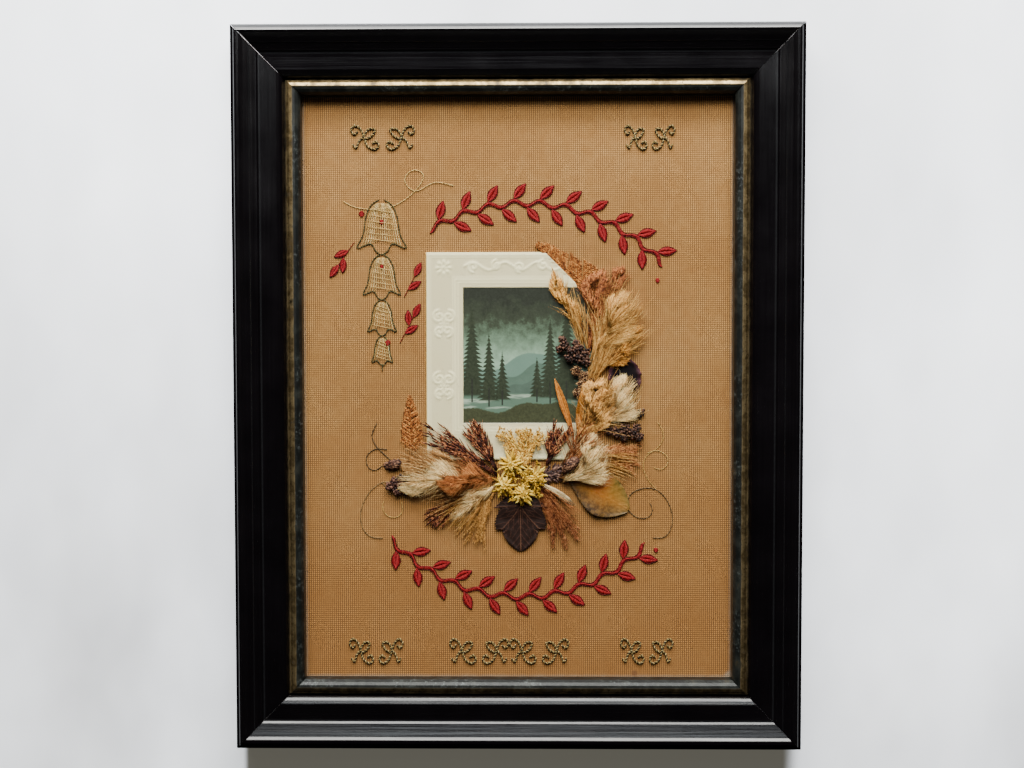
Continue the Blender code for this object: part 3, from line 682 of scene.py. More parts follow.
def dress(heap, node, word, finish):
    """The heap as the piece that stands for one node's solid."""
    return settle(heap.piece(node + "_" + word, finish), SLOTS[node], node)


def chance(name):
    """Chance numbers that are the same at each run."""
    return np.random.default_rng(sum(ord(letter) * (place + 7) for place, letter in enumerate(name)))


def start(node, make_bed):
    """What a dried piece begins with: its bed, its own chance numbers and an empty heap."""
    return make_bed(node), chance(node), Heap()


def tones(rng, middle, spread, count=None):
    """Shades that lie about a middle one by chance, from 0 to 1."""
    return np.clip(middle + rng.normal(0.0, spread, count), 0.0, 1.0)


def beside(way):
    """The direction a quarter turn to the left of each one, as x, z."""
    return np.stack((-way[..., 1], way[..., 0]), -1)


def smooth_line(points, pace):
    """Points about one pace apart on a smooth line through the given ones."""
    given = np.array(points, float)
    longer = np.vstack((2 * given[0] - given[1], given, 2 * given[-1] - given[-2]))
    made = []
    for before, here, after, last in zip(longer, longer[1:], longer[2:], longer[3:]):
        steps = max(2, int(np.linalg.norm(after - here) / pace))
        t = np.linspace(0.0, 1.0, steps, endpoint=False)[:, None]
        made.append(0.5 * (2 * here + (after - before) * t + (2 * before - 5 * here + 4 * after - last) * t**2
                           + (3 * here - before - 3 * after + last) * t**3))
    made.append(given[-1:])
    return np.vstack(made)


def lifted(line, height):
    """Points given as x, z, put at a height off the wall."""
    line = np.asarray(line, float)
    height = np.broadcast_to(height, line.shape[:-1])
    return np.stack((line[..., 0], -height, line[..., 1]), -1) * MM


def along_line(at, run, line):
    """Points of a line, as x, z, at those places of its run."""
    return np.stack((np.interp(at, run, line[:, 0]), np.interp(at, run, line[:, 1])), -1)


def points_round(x, z, out, turn):
    """Points round a middle, at those distances and turns, as x, z."""
    return np.stack((x + out * np.cos(turn), z + out * np.sin(turn)), -1)


def taper(share, widest, tip_size):
    """How full a plume or leaf is at a share of its length."""
    share = np.clip(share, 0.0, 1.0)
    swell = 0.22 + 0.78 * np.sin(np.minimum(share / widest, 1.0) * math.pi / 2) ** 1.3
    rest = np.clip((share - widest) / (1.0 - widest), 0.0, 1.0)
    fall = tip_size + (1.0 - tip_size) * np.abs(np.cos(rest * math.pi / 2)) ** 0.8
    return np.where(share < widest, swell, fall)


# How far from the wall a ray starts, in metres
RAY_START = 0.2


def solid_tree(node):
    """A node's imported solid, ready for rays."""
    mesh = frame["nodes"][node].data
    return BVHTree.FromPolygons([corner.co for corner in mesh.vertices],
                                [tuple(face.vertices) for face in mesh.polygons])


def first_met(tree, x, z, side):
    """Where a ray from in front (side -1) or from behind (side 1) meets a solid, in metres."""
    return tree.ray_cast(Vector((x, side * RAY_START, z)), Vector((0.0, -side, 0.0)))[0]


class Bed:
    """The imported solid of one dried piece: it says where its front and back lie."""

    STEPS = 26
    LANES = 10

    def __init__(self, node, root_x, root_z, tip_x, tip_z, half, bend=0.0):
        self.root = np.array((root_x, root_z))
        self.run = np.array((tip_x, tip_z)) - self.root
        self.length = np.hypot(*self.run)
        self.across = beside(self.run) / self.length
        self.half = half
        self.bend = bend
        tree = solid_tree(node)
        self.fronts = np.empty((self.STEPS + 1, self.LANES + 1))
        self.backs = np.empty_like(self.fronts)
        for row in range(self.STEPS + 1):
            for column in range(self.LANES + 1):
                x, z = self.flat(row / self.STEPS, 2 * column / self.LANES - 1) * MM
                before = first_met(tree, x, z, -1.0)
                behind = first_met(tree, x, z, 1.0)
                if before is None or behind is None:
                    middle = -(GROUND_FRONT + 4.0) * MM
                    before = behind = tree.find_nearest(Vector((x, middle, z)))[0]
                self.fronts[row, column] = -before.y / MM
                self.backs[row, column] = -behind.y / MM

    def flat(self, share, lane):
        """x, z in millimetres of a share and a lane."""
        share = np.asarray(share, float)
        aside = self.bend * np.sin(np.clip(share, 0.0, 1.0) * math.pi) + lane * self.half(share)
        return self.root + self.run * share[..., None] + self.across * np.asarray(aside)[..., None]

    def read(self, grid, share, lane):
        """A grid's value between its points."""
        u = np.clip(share, 0.0, 0.9999) * self.STEPS
        v = (np.clip(lane, -0.9999, 0.9999) + 1.0) / 2 * self.LANES
        row = u.astype(int)
        column = v.astype(int)
        u = u - row
        v = v - column
        first = grid[row, column] * (1 - v) + grid[row, column + 1] * v
        second = grid[row + 1, column] * (1 - v) + grid[row + 1, column + 1] * v
        return first * (1 - u) + second * u

    def place(self, share, lane, depth=1.0, lift=0.0):
        """Points in metres: depth is 0 at the solid's back and 1 at its front."""
        share, lane = np.broadcast_arrays(np.asarray(share, float), np.asarray(lane, float))
        back = self.read(self.backs, share, lane)
        front = self.read(self.fronts, share, lane)
        return lifted(self.flat(share, lane), back + (front - back) * depth + lift)


def plume_bed(node):
    """The solid of a plume, with lanes that stay wide at its soft tip."""
    root_x, root_z, tip_x, tip_z, width, widest, bend = PLUMES[node]
    bed = Bed(node, root_x, root_z, tip_x, tip_z, lambda share: width / 2 * taper(share, widest, 0.12), bend)
    bed.half = lambda share: width / 2 * taper(share, widest, 0.5)
    return bed


def fan_bed(node):
    """The solid of a fan, which widens evenly from its root."""
    root_x, root_z, tip_x, tip_z, width = FANS[node]

    def half(share):
        return 1.2 + (width / 2 - 1.2) * np.clip(share, 0.0, 1.2)

    return Bed(node, root_x, root_z, tip_x, tip_z, half)


def leaf_bed(node):
    """The solid of a leaf."""
    base_x, base_z, tip_x, tip_z, width, widest = LEAVES[node]
    return Bed(node, base_x, base_z, tip_x, tip_z, lambda share: width / 2 * taper(share, widest, 0.06))


# Steps that never fall into rows: of a share, of a turn in radians, and of a seed's turn
GOLDEN_SHARE = 0.618
GOLDEN_TURN = 2.399
SEED_TURN = 2.4
# How thick a fine hair and a seed's awn are at four places along them
HAIR = (0.9, 1.0, 0.75, 0.18)
SEED = (0.45, 1.0, 0.9, 0.14)


def tuft(heap, bed, rng, count, first, last, aim, spread, thick, depth, shade, shape=HAIR, inner=0.16):
    """Hairs that leave the stem together and part to their tips."""
    t = np.linspace(0.0, 1.0, 4)[None]
    begin = first + rng.uniform(-0.03, 0.03, (count, 1))
    reach = (last - first) * rng.uniform(0.6, 1.12, (count, 1))
    goal = aim + rng.normal(0.0, spread, (count, 1))
    share = begin + reach * t
    lane = goal * (inner + (1.0 - inner) * t ** 0.85) + rng.normal(0.0, 0.02, (count, 4))
    deep = depth + rng.uniform(-0.3, 0.2, (count, 1)) * (0.4 + t)
    paths = bed.place(share, lane, np.clip(deep, 0.02, 1.15))
    width = thick * rng.uniform(0.7, 1.25, (count, 1)) * np.array(shape)
    # painted shade: hairs that end deeper in the plume are darker
    lit = (np.clip(deep[:, -1], 0.0, 1.0) - 0.8) * 0.6
    heap.tubes(paths, width, width * 0.8, 3, tones(rng, shade + lit, 0.34, count))


def core(heap, bed, full, shade):
    """The dense middle of a plume."""
    share = np.linspace(0.03, 0.9, 12)[None]
    width = bed.half(share) * full
    depth = (bed.read(bed.fronts, share, 0 * share) - bed.read(bed.backs, share, 0 * share)) / 2
    heap.tubes(bed.place(share, 0.0, 0.45), width, np.maximum(depth * 0.6, 0.3), 8, shade)


def hairy_plume(node, finish, tufts, hairs, reach, thick, wild, shape=HAIR, loose=0.2):
    """A soft dried plume: tufts of fine hairs, light and dark, that part at its tip."""
    bed, rng, heap = start(node, plume_bed)
    # painted shade: the dark core stands for the shade deep in the plume, between its hairs
    core(heap, bed, 0.42, 0.1)
    inner = 0.72 if shape is SEED else 0.3
    for number in range(tufts):
        first = 0.9 * (number * GOLDEN_SHARE % 1.0)
        aim = wild * math.sin(number * GOLDEN_TURN + 0.6)
        long = reach * rng.uniform(0.7, 1.2)
        tuft(heap, bed, rng, hairs, first, min(first + long, 1.06), aim, 0.2, thick,
             rng.uniform(0.35, 1.1), rng.uniform(0.2, 0.84), shape, inner)
    strays = int(tufts * hairs * loose)
    first = rng.uniform(0.05, 0.85, (strays, 1))
    last = np.minimum(first + max(reach, 0.18) * 1.1, 1.1)
    tuft(heap, bed, rng, strays, first, last, aim=0.0, spread=1.0, thick=0.13, depth=0.7, shade=0.55)
    return dress(heap, node, "hairs", finish)


def stalks(rng, count, fringe=0.0, least=0.88):
    """Shares and lanes of stalks that fan out from the root."""
    t = np.linspace(0.0, 1.0, 7)[None]
    goal = np.linspace(-0.94, 0.94, count)[:, None] + rng.normal(0.0, 0.04, (count, 1))
    reach = (1.0 - 0.09 * goal ** 2) * rng.uniform(least, 1.0 + fringe, (count, 1))
    lane = goal * (0.25 + 0.75 * t) + 0.06 * np.sin(t * 5 + goal * 9)
    return reach * t, lane


def barbs(heap, bed, rng, share, lane, each, first, long, angle, thick, sides=3, flat=0.8, tone=0.5):
    """Short side hairs or leaflets on both sides of every stalk."""
    for s_line, l_line in zip(share, lane):
        at = np.sort(rng.uniform(first, 1.0, each))
        grid = np.linspace(0.0, 1.0, len(s_line))
        s = np.interp(at, grid, s_line)
        flat_line = bed.flat(s_line, l_line)
        spot = along_line(at, grid, flat_line)
        heading = flat_line[-1] - flat_line[-3]
        heading = heading / np.hypot(*heading)
        aside = beside(heading)
        side = np.where(np.arange(each) % 2, 1.0, -1.0)[:, None]
        turn = np.radians(angle) * rng.uniform(0.6, 1.35, (each, 1))
        way = heading * np.cos(turn) + aside * side * np.sin(turn)
        reach = long * rng.uniform(0.6, 1.15, (each, 1)) * (1.15 - 0.55 * at[:, None])
        t = np.linspace(0.0, 1.0, 4)[None, :, None]
        line = spot[:, None] + way[:, None] * reach[:, None] * t
        line = line + heading * (reach[:, None] * 0.22 * t ** 2)
        middle = bed.read(bed.fronts, s, np.interp(at, grid, l_line))
        lift = rng.uniform(-0.5, 0.25, (each, 1)) + 0.35 * np.sin(t[..., 0] * math.pi)
        width = thick * np.array((0.55, 1.0, 0.85, 0.12)) * rng.uniform(0.75, 1.2, (each, 1))
        heap.tubes(lifted(line, middle[:, None] + lift), width, width * flat, sides,
                   tones(rng, tone, 0.22, each), 0.3 + 0.7 * t[..., 0])


def feather_grass(node, finish, count=21, each=64, long=4.2, angle=28.0, thick=0.14, first=0.22):
    """A fan of fine grass: thin stalks with short hairs on both sides."""
    bed, rng, heap = start(node, fan_bed)
    share, lane = stalks(rng, count, fringe=0.06, least=0.62)
    width = np.array((0.34, 0.32, 0.3, 0.27, 0.22, 0.16, 0.08))
    heap.tubes(bed.place(share, lane, 0.6), width, width, 4, rng.uniform(0.1, 0.6, count))
    barbs(heap, bed, rng, share, lane, each, first, long, angle, thick)
    return dress(heap, node, "stalks", finish)


def bladed_spray(node, finish, count=6, each=18, long=9.0, thick=0.5):
    """A dark forked spray: stiff stalks with narrow leaflets laid along them."""
    bed, rng, heap = start(node, fan_bed)
    share, lane = stalks(rng, count)
    width = np.array((0.7, 0.65, 0.6, 0.55, 0.5, 0.36, 0.1))
    heap.tubes(bed.place(share, lane, 0.5), width, width * 0.8, 5, rng.uniform(0.1, 0.4, count))
    barbs(heap, bed, rng, share, lane, each, 0.22, long, 13.0, thick, sides=4, flat=0.45, tone=0.3)
    barbs(heap, bed, rng, share, lane, each, 0.3, long * 0.7, 18.0, 0.13, tone=0.85)
    return dress(heap, node, "blades", finish)


def gold_flowers(node, finish):
    """Yellow feathery flowers: small puffs of curled bracts on thin stalks."""
    bed, rng, heap = start(node, fan_bed)
    share, lane = stalks(rng, 17)
    width = np.array((0.5, 0.48, 0.44, 0.4, 0.34, 0.26, 0.12))
    heap.tubes(bed.place(share, lane, 0.4), width, width, 4, 0.3)
    barbs(heap, bed, rng, share, lane, each=40, first=0.1, long=3.6, angle=34.0, thick=0.34,
          sides=4, flat=0.6)
    puffs = 130
    for _ in range(puffs):
        at = rng.uniform(0.12, 1.02)
        middle = bed.place(np.array([at]), np.array([rng.uniform(-1.1, 1.1)]), 0.7)[0]
        puff(heap, middle, rng, radius=2.4, count=10, thick=0.3, tone=rng.uniform(0.1, 1.0))
    return dress(heap, node, "bracts", finish)


def puff(heap, middle, rng, radius, count, thick, tone):
    """A small head of bracts that stand out to all sides."""
    turn = rng.uniform(0.0, 2 * math.pi, count)
    tilt = rng.uniform(0.1, 1.2, count)
    way = np.stack((np.sin(tilt) * np.cos(turn), -0.55 * np.cos(tilt), np.sin(tilt) * np.sin(turn)), -1)
    t = np.linspace(0.0, 1.0, 3)[None, :, None]
    reach = radius * MM * rng.uniform(0.7, 1.2, (count, 1, 1))
    paths = middle + way[:, None] * reach * t
    paths[:, -1, 1] += 0.25 * MM
    width = thick * np.array((0.6, 1.0, 0.15))
    heap.tubes(paths, width, width * 0.6, 4, tones(rng, tone, 0.14, count))


def small_bracts(finish):
    """Loose pointed bracts crowded between the straw flowers."""
    rng = chance("small_bracts")
    heap = Heap()
    front = -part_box("straw_head_2")[0].y / MM
    puffs = 40
    for _ in range(puffs):
        x = rng.uniform(-13.0, 17.0)
        z = -64.0 + 0.12 * x + rng.normal(0.0, 5.0)
        middle = lifted(np.array([(x, z)]), front - rng.uniform(2.5, 5.0))[0]
        puff(heap, middle, rng, radius=3.6, count=9, thick=0.55, tone=rng.uniform(0.0, 0.6))
    return settle(heap.piece("small_bracts", finish), "dried_gold")


def straw_head(node, finish):
    """A straw flower: rings of stiff pointed bracts over each other, with a tight middle."""
    x, z, radius, lean = STRAW_HEADS[node]
    low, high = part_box(node)
    back = -high.y / MM
    front = -low.y / MM
    rng = chance(node)
    heap = Heap()
    t = np.linspace(0.0, 1.0, 6)[None]
    rings = ((2 * STRAW_POINTS, 1.12, 0.12, 0.30, 1.35), (STRAW_POINTS + 4, 0.9, 0.4, 0.62, 1.35),
             (STRAW_POINTS + 2, 0.62, 0.6, 0.95, 1.15), (STRAW_POINTS, 0.34, 0.75, 1.1, 0.8))
    for level, (count, reach, rise, crest, wide) in enumerate(rings):
        turn = math.radians(90.0 - lean) + np.arange(count)[:, None] * 2 * math.pi / count
        turn = turn + rng.normal(0.0, 0.16, (count, 1)) + level * 0.37
        out = radius * (0.06 + (reach - 0.06) * t * rng.uniform(0.74, 1.16, (count, 1)))
        bend = turn + 0.16 * rng.normal(0.0, 1.0, (count, 1)) * t ** 2
        line = points_round(x, z, out, bend)
        height = back + (front - back) * (rise + (crest - rise) * np.sin(t * 2.4))
        width = wide * np.array((0.5, 0.9, 1.0, 0.85, 0.5, 0.06))
        heap.tubes(lifted(line, height), width, width * 0.28, 4, tones(rng, 0.55, 0.27, count))
    seeds = 16
    turn = np.arange(seeds) * SEED_TURN
    out = radius * 0.2 * np.sqrt(np.arange(seeds) / seeds)
    heap.balls(lifted(points_round(x, z, out, turn), front - 0.2), 0.55, shade=rng.uniform(0.2, 0.6, seeds))
    return dress(heap, node, "bracts", finish)


def leaf_grid(rows, columns):
    """Shares and lanes of a grid of points over a leaf."""
    share = np.linspace(0.0, 1.0, rows)[:, None]
    lane = np.linspace(-1.0, 1.0, columns)[None]
    return np.broadcast_arrays(share, lane)


def veins(share, lane, length, half, pairs, slope):
    """How near a point of a leaf is to its midrib or to one of its side veins."""
    near = np.exp(-(lane * half / 0.55) ** 2)
    for place in np.linspace(0.06, 0.86, pairs):
        off = (share - place - slope * np.abs(lane)) * length
        near = np.maximum(near, 0.8 * np.exp(-(off / 0.38) ** 2))
    return near


def wavy(share, count, deep):
    """An edge with that many teeth that point to the tip, from 1 at their tips to 1 - deep."""
    return 1.0 - deep * (1.0 - share * count % 1.0)


# Main veins of the lobed leaf: lean from the tip's line in degrees, and the share they spread from
PALM_LEANS = (0.0, 38.0, 88.0, 132.0)
PALM_SHARE = 0.3
# How much wider the lobed leaf's cut edge is than its solid, at the tips of its lobes
LOBE_REACH = 1.07


def palm_veins(along, aside):
    """How near a point is to a vein: main ones spread from one place, side ones curve off them."""
    near = np.zeros(along.shape)
    out = np.hypot(along, aside)
    for lean in PALM_LEANS:
        way = math.radians(lean)
        run = along * math.cos(way) + np.abs(aside) * math.sin(way)
        off = np.abs(aside) * math.cos(way) - along * math.sin(way)
        main = 0.8 * np.exp(-(off / 0.42) ** 2) * (run > 0)
        fork = np.abs(off) * 1.1 - run * 0.9
        fine = 0.55 * np.exp(-((fork % 5.0 - 2.5) / 0.4) ** 2) * (run > 2.0) * (np.abs(off) < 7.0)
        near = np.maximum(near, np.maximum(main, fine))
    return near * (out > 0.6)


def lobed_leaf(node, finish):
    """The dark leaf under the spray: toothed, with pale raised veins."""
    bed = leaf_bed(node)
    share, lane = leaf_grid(116, 75)
    edge = wavy(share, 3.0, 0.27) * wavy(share, 24.0, 0.07)
    near = palm_veins((share - PALM_SHARE) * bed.length, lane * bed.half(share))
    ripple = 0.35 * np.sin(share * 22 + np.abs(lane) * 9) * np.abs(lane)
    top = bed.place(share, lane * edge * LOBE_REACH, 1.0, near * 0.28 + ripple * 0.6)
    heap = Heap()
    heap.slab(top, 0.5, near, share)
    return dress(heap, node, "veined", finish)


def oval_leaf(node, finish):
    """The broad leaf at the lower right, with a curled dark edge."""
    bed = leaf_bed(node)
    share, lane = leaf_grid(70, 41)
    near = veins(share, lane, bed.length, bed.half(share), 9, 0.2)
    curl = 0.5 * np.maximum(-lane - 0.7, 0.0) * 3 + 0.2 * np.sin(share * 14)
    heap = Heap()
    heap.slab(bed.place(share, lane, 1.0, near * 0.18 + curl), 0.5, lane * 0.5 + 0.5, share)
    return dress(heap, node, "veined", finish)


def folded_leaf(node, finish):
    """A narrow leaf, folded along its midrib."""
    bed = leaf_bed(node)
    share, lane = leaf_grid(40, 13)
    ribs = np.cos(lane * 12.0) * 0.5 + 0.5
    heap = Heap()
    top = bed.place(share, lane * wavy(share, 3.3, 0.12), 1.0, 0.5 * np.abs(lane) + ribs * 0.12)
    heap.slab(top, 0.4, ribs * 0.7 + 0.1, share)
    return dress(heap, node, "folded", finish)


def curled_petal(node, finish):
    """The dark petal: a deep cup with a frilled rim."""
    bed = leaf_bed(node)
    share, lane = leaf_grid(60, 37)
    frill = 0.5 * np.sin(share * 31) * np.maximum(np.abs(lane) - 0.5, 0.0) * 2
    fold = 0.7 * np.sin(lane * 7 + share * 4) * (1 - np.abs(lane))
    heap = Heap()
    top = bed.place(share, lane * wavy(share, 6.0, 0.06), 1.0, frill + fold)
    heap.slab(top, 0.5, np.abs(lane) ** 2, share)
    return dress(heap, node, "cup", finish)


def fern(node, make_bed, finish, pairs, leaflets, slope, left=1.0, right=1.0):
    """A pressed frond: side fronds on both sides of the stem, each with small leaflets."""
    bed, rng, heap = start(node, make_bed)
    stem = np.linspace(0.0, 1.0, 14)[None]
    width = np.linspace(0.55, 0.12, 14)
    heap.tubes(bed.place(stem, 0.0, 0.9), width, width * 0.7, 5, 0.25)
    for place in np.linspace(0.0, 0.97, pairs):
        for side, reach in ((-1.0, right), (1.0, left)):
            t = np.linspace(0.0, 1.0, leaflets)
            share = place + slope * t * (1.0 - place) + rng.normal(0.0, 0.006)
            lane = side * reach * t * rng.uniform(0.8, 1.05)
            line = bed.place(share[None], lane[None], 0.85)
            tone = tones(rng, 0.5, 0.12)
            heap.tubes(line, np.linspace(0.3, 0.08, leaflets), 0.12, 4, tone)
            size = bed.half(np.array([place]))[0] * reach / leaflets * 1.25
            gap = bed.length / pairs * 0.54
            for turn in (-1.0, 1.0):
                way = bed.run / bed.length * (turn * gap) + bed.across * (side * size * 0.7)
                way = np.array((way[0], 0.15, way[1])) * MM
                paths = line[0][:, None] + way * np.linspace(0.0, 1.0, 3)[None, :, None]
                wide = size * 0.36 * np.array((0.7, 1.0, 0.25)) * np.ones((leaflets, 1))
                heap.tubes(paths, wide, 0.1, 4, tones(rng, tone, 0.24, leaflets))
    return dress(heap, node, "frond", finish)


def right_fern_bed(node):
    """The solid of the fern behind the card, which narrows to its tip."""
    root_x, root_z, tip_x, tip_z, half = FERN_RIGHT
    return Bed(node, root_x, root_z, tip_x, tip_z,
               lambda share: half * (1.02 - np.clip(share, 0.0, 1.0)) ** 0.55)


def seed_cluster(node, finish, small, radius, hairs=0):
    """Seeds or small flower heads, crowded over each ball of the solid."""
    rng = chance(node)
    tree = solid_tree(node)
    heap = Heap()
    for x, z, size in SEED_HEADS[node]:
        front = -first_met(tree, x * MM, z * MM, -1.0).y / MM
        middle = front - size * 0.62
        heap.balls(lifted(np.array([(x, z)]), middle), size * 0.8, flat=0.6, sides=10, shade=0.2)
        turn = np.arange(small) * SEED_TURN + rng.uniform(0, 6)
        out = size * np.sqrt((np.arange(small) + 0.5) / small)
        spots = points_round(x, z, out, turn)
        spots += rng.normal(0.0, 0.15, spots.shape)
        dome = np.sqrt(np.clip(1.0 - (out / size) ** 2, 0.0, 1.0))
        spots = lifted(spots, middle + size * 0.5 * dome)
        heap.balls(spots, radius * rng.uniform(0.8, 1.2, small), flat=0.9,
                   shade=rng.uniform(0.1, 0.9, small))
        if hairs:
            t = np.linspace(0.0, 1.0, 3)[None, :]
            angle = rng.uniform(0, 2 * math.pi, (hairs, 1))
            reach = size * (0.45 + 0.65 * t * rng.uniform(0.8, 1.2, (hairs, 1)))
            width = 0.2 * np.array((1.0, 0.9, 0.2))
            height = middle + 0.9 * size * 0.62 * (1 - t * 0.5)
            heap.tubes(lifted(points_round(x, z, reach, angle), height), width, width, 3,
                       rng.uniform(0.5, 1.0, hairs))
    return dress(heap, node, "seeds", finish)


def scaly_bud(node, finish, rows=9):
    """A dry bud: pointed scales laid over each other from its root to its tip."""
    bed, rng, heap = start(node, plume_bed)
    core(heap, bed, 0.8, 0.2)
    t = np.linspace(0.0, 1.0, 4)[None]
    for number in range(rows):
        first = 0.9 * number / rows
        goal = np.array((-0.75, -0.25, 0.25, 0.75))[:, None] + 0.25 * (number % 2) - 0.12
        share = first + 0.24 * t + 0 * goal
        lane = goal * (1.0 - 0.25 * t)
        width = bed.half(np.array([first + 0.1]))[0] * 0.36 * np.array((0.7, 1.0, 0.8, 0.1))
        heap.tubes(bed.place(share, lane, 0.92, 0.25 * t), width, width * 0.3, 4,
                   tones(rng, 0.45, 0.25, 4))
    return dress(heap, node, "scales", finish)


def seed_twig(node, finish):
    """A twig with dark seeds crowded to its end."""
    bed, rng, heap = start(node, plume_bed)
    stem = np.linspace(0.0, 1.0, 10)[None]
    heap.tubes(bed.place(stem, 0.0, 0.5), np.linspace(0.5, 0.2, 10), 0.3, 5, 0.35)
    seeds = 74
    share = rng.uniform(0.12, 0.98, seeds)
    lane = rng.uniform(-0.9, 0.9, seeds)
    spots = bed.place(share, lane, rng.uniform(0.3, 0.95, seeds))
    heap.balls(spots, rng.uniform(0.6, 1.2, seeds), flat=0.8, shade=rng.uniform(0.0, 0.9, seeds))
    return dress(heap, node, "seeds", finish)


def white_quill(node, finish):
    """A rolled white bract: tight streaks that end in a soft tip."""
    bed, rng, heap = start(node, plume_bed)
    core(heap, bed, 0.85, 0.75)
    for number, aim in enumerate(np.linspace(-0.8, 0.8, 9)):
        tuft(heap, bed, rng, 12, 0.04 + 0.02 * (number % 3), 0.96, aim, spread=0.08, thick=0.2,
             depth=0.9, shade=0.3 + 0.08 * number)
    return dress(heap, node, "streaks", finish)


def dark_leaves(node, finish):
    """Small dark crumpled leaves under the middle of the spray."""
    bed, rng, heap = start(node, fan_bed)
    share, lane = stalks(rng, 5)
    width = np.array((0.5, 0.5, 0.45, 0.4, 0.35, 0.25, 0.1))
    heap.tubes(bed.place(share, lane, 0.5), width, width, 4, 0.2)
    barbs(heap, bed, rng, share, lane, each=16, first=0.2, long=5.5, angle=38.0, thick=1.1,
          sides=4, flat=0.25, tone=0.3)
    barbs(heap, bed, rng, share, lane, each=14, first=0.3, long=4.0, angle=50.0, thick=0.3,
          sides=4, flat=0.5, tone=0.85)
    return dress(heap, node, "leaflets", finish)


# Loose hairs between the plumes: root x, z, tip x, z, width, height, hairs
STRAW_WISPS = (
    (50.0, 20.0, 80.0, 70.0, 34.0, 8.6, 240), (52.0, 12.0, 88.0, 44.0, 20.0, 8.2, 170),
    (46.0, -30.0, 74.0, 8.0, 30.0, 8.8, 200), (48.0, 16.0, 36.0, 70.0, 14.0, 8.6, 90),
    (47.0, -2.0, 60.0, 34.0, 18.0, 9.6, 230),
    (-18.0, -64.0, -52.0, -98.0, 26.0, 7.6, 150), (44.0, -46.0, 84.0, -56.0, 26.0, 7.4, 150),
)
CREAM_WISPS = (
    (-24.0, -60.0, -76.0, -48.0, 26.0, 8.2, 240), (-20.0, -64.0, -66.0, -78.0, 22.0, 7.8, 170),
    (28.0, -60.0, 60.0, -44.0, 28.0, 9.0, 170),
)
RUSSET_WISPS = (
    (30.0, -52.0, 56.0, -24.0, 20.0, 10.5, 150), (50.0, 26.0, 66.0, 82.0, 22.0, 8.2, 190),
    (38.0, -46.0, 34.0, -20.0, 12.0, 12.0, 60), (12.0, -64.0, 40.0, -100.0, 28.0, 7.4, 120),
    (-20.0, -62.0, -44.0, -46.0, 14.0, 9.5, 90),
)


def loose_hairs(name, finish, slot, rows):
    """Fine stray hairs that fill the spray between its plumes."""
    rng = chance(name)
    heap = Heap()
    t = np.linspace(0.0, 1.0, 5)[None]
    for root_x, root_z, tip_x, tip_z, width, height, count in rows:
        root = np.array((root_x, root_z))
        run = np.array((tip_x, tip_z)) - root
        across = beside(run) / np.hypot(*run)
        goal = rng.uniform(-0.5, 0.5, (count, 1)) * width
        share = rng.uniform(0.0, 0.6, (count, 1)) + rng.uniform(0.22, 0.45, (count, 1)) * t
        aside = goal * share ** 0.7 + rng.normal(0.0, 1.3, (count, 1)) * t ** 2
        line = root + run * share[..., None] + across * aside[..., None]
        lift = height + rng.uniform(-1.0, 1.0, (count, 1)) + 0.9 * np.sin(t * math.pi)
        thick = rng.uniform(0.11, 0.22, (count, 1)) * np.array((0.7, 1.0, 0.9, 0.7, 0.2))
        heap.tubes(lifted(line, lift), thick, thick, 3, rng.uniform(0.0, 1.0, count))
    return settle(heap.piece(name, finish), slot)


# Hairs of the plumes: dark, middle and light colour, and how mottled they are
HAIR_COLOURS = {
    "tan": ((108, 66, 26), (206, 149, 74), (240, 201, 122), 0.4),
    "straw": ((112, 66, 24), (212, 150, 68), (240, 196, 112), 1.0),
    "gold": ((84, 46, 15), (182, 118, 42), (224, 168, 82), 1.0),
    "honey": ((110, 67, 28), (206, 148, 72), (234, 186, 110), 1.0),
    "russet": ((76, 36, 17), (150, 85, 44), (194, 128, 75), 1.0),
    "cream": ((120, 84, 46), (226, 186, 120), (252, 232, 174), 0.4),
    "brownish_cream": ((84, 50, 24), (168, 116, 60), (222, 182, 122), 0.5),
    "orange": ((110, 56, 22), (172, 101, 49), (204, 142, 82), 0.6),
}
# Node, hairs, tufts, hairs in a tuft, a tuft's reach as a share, half thickness, how wide the tufts
# aim, and where they differ from the usual, the shape of a hair and the share of stray hairs
PLUME_HAIRS = (
    ("plume_straw", "straw", 200, 3, 0.15, 0.34, 1.5, SEED),
    ("plume_russet_low", "russet", 200, 3, 0.22, 0.24, 1.6),
    ("plume_russet", "russet", 330, 3, 0.1, 0.4, 1.7, SEED),
    ("plume_tan", "tan", 320, 5, 0.34, 0.18, 1.4),
    ("plume_gold", "gold", 330, 3, 0.12, 0.36, 1.2, SEED),
    ("plume_cream_upper", "cream", 190, 5, 0.36, 0.18, 1.6),
    ("plume_honey", "honey", 360, 4, 0.17, 0.3, 1.5, SEED),
    ("plume_cream_right", "cream", 310, 5, 0.36, 0.18, 1.5),
    ("plume_cream_left", "brownish_cream", 240, 5, 0.26, 0.2, 1.7),
    ("plume_cream_low", "cream", 240, 5, 0.26, 0.2, 1.6),
    ("plume_pale", "cream", 210, 4, 0.3, 0.18, 1.25, HAIR, 0.03),
    ("plume_orange", "orange", 230, 4, 0.18, 0.26, 1.6),
)


def make_plumes():
    """The soft plumes, and the loose hairs between them."""
    finishes = {}
    for name, (dark, middle, light, mottle) in HAIR_COLOURS.items():
        finishes[name] = fibres(name + "_hairs", dark, middle, light, mottle=mottle)
    for node, hairs, *sizes in PLUME_HAIRS:
        hairy_plume(node, finishes[hairs], *sizes)
    loose_hairs("straw_wisps", finishes["tan"], "dried_straw", STRAW_WISPS)
    loose_hairs("cream_wisps", finishes["brownish_cream"], "dried_cream", CREAM_WISPS)
    loose_hairs("russet_wisps", finishes["russet"], "dried_russet", RUSSET_WISPS)


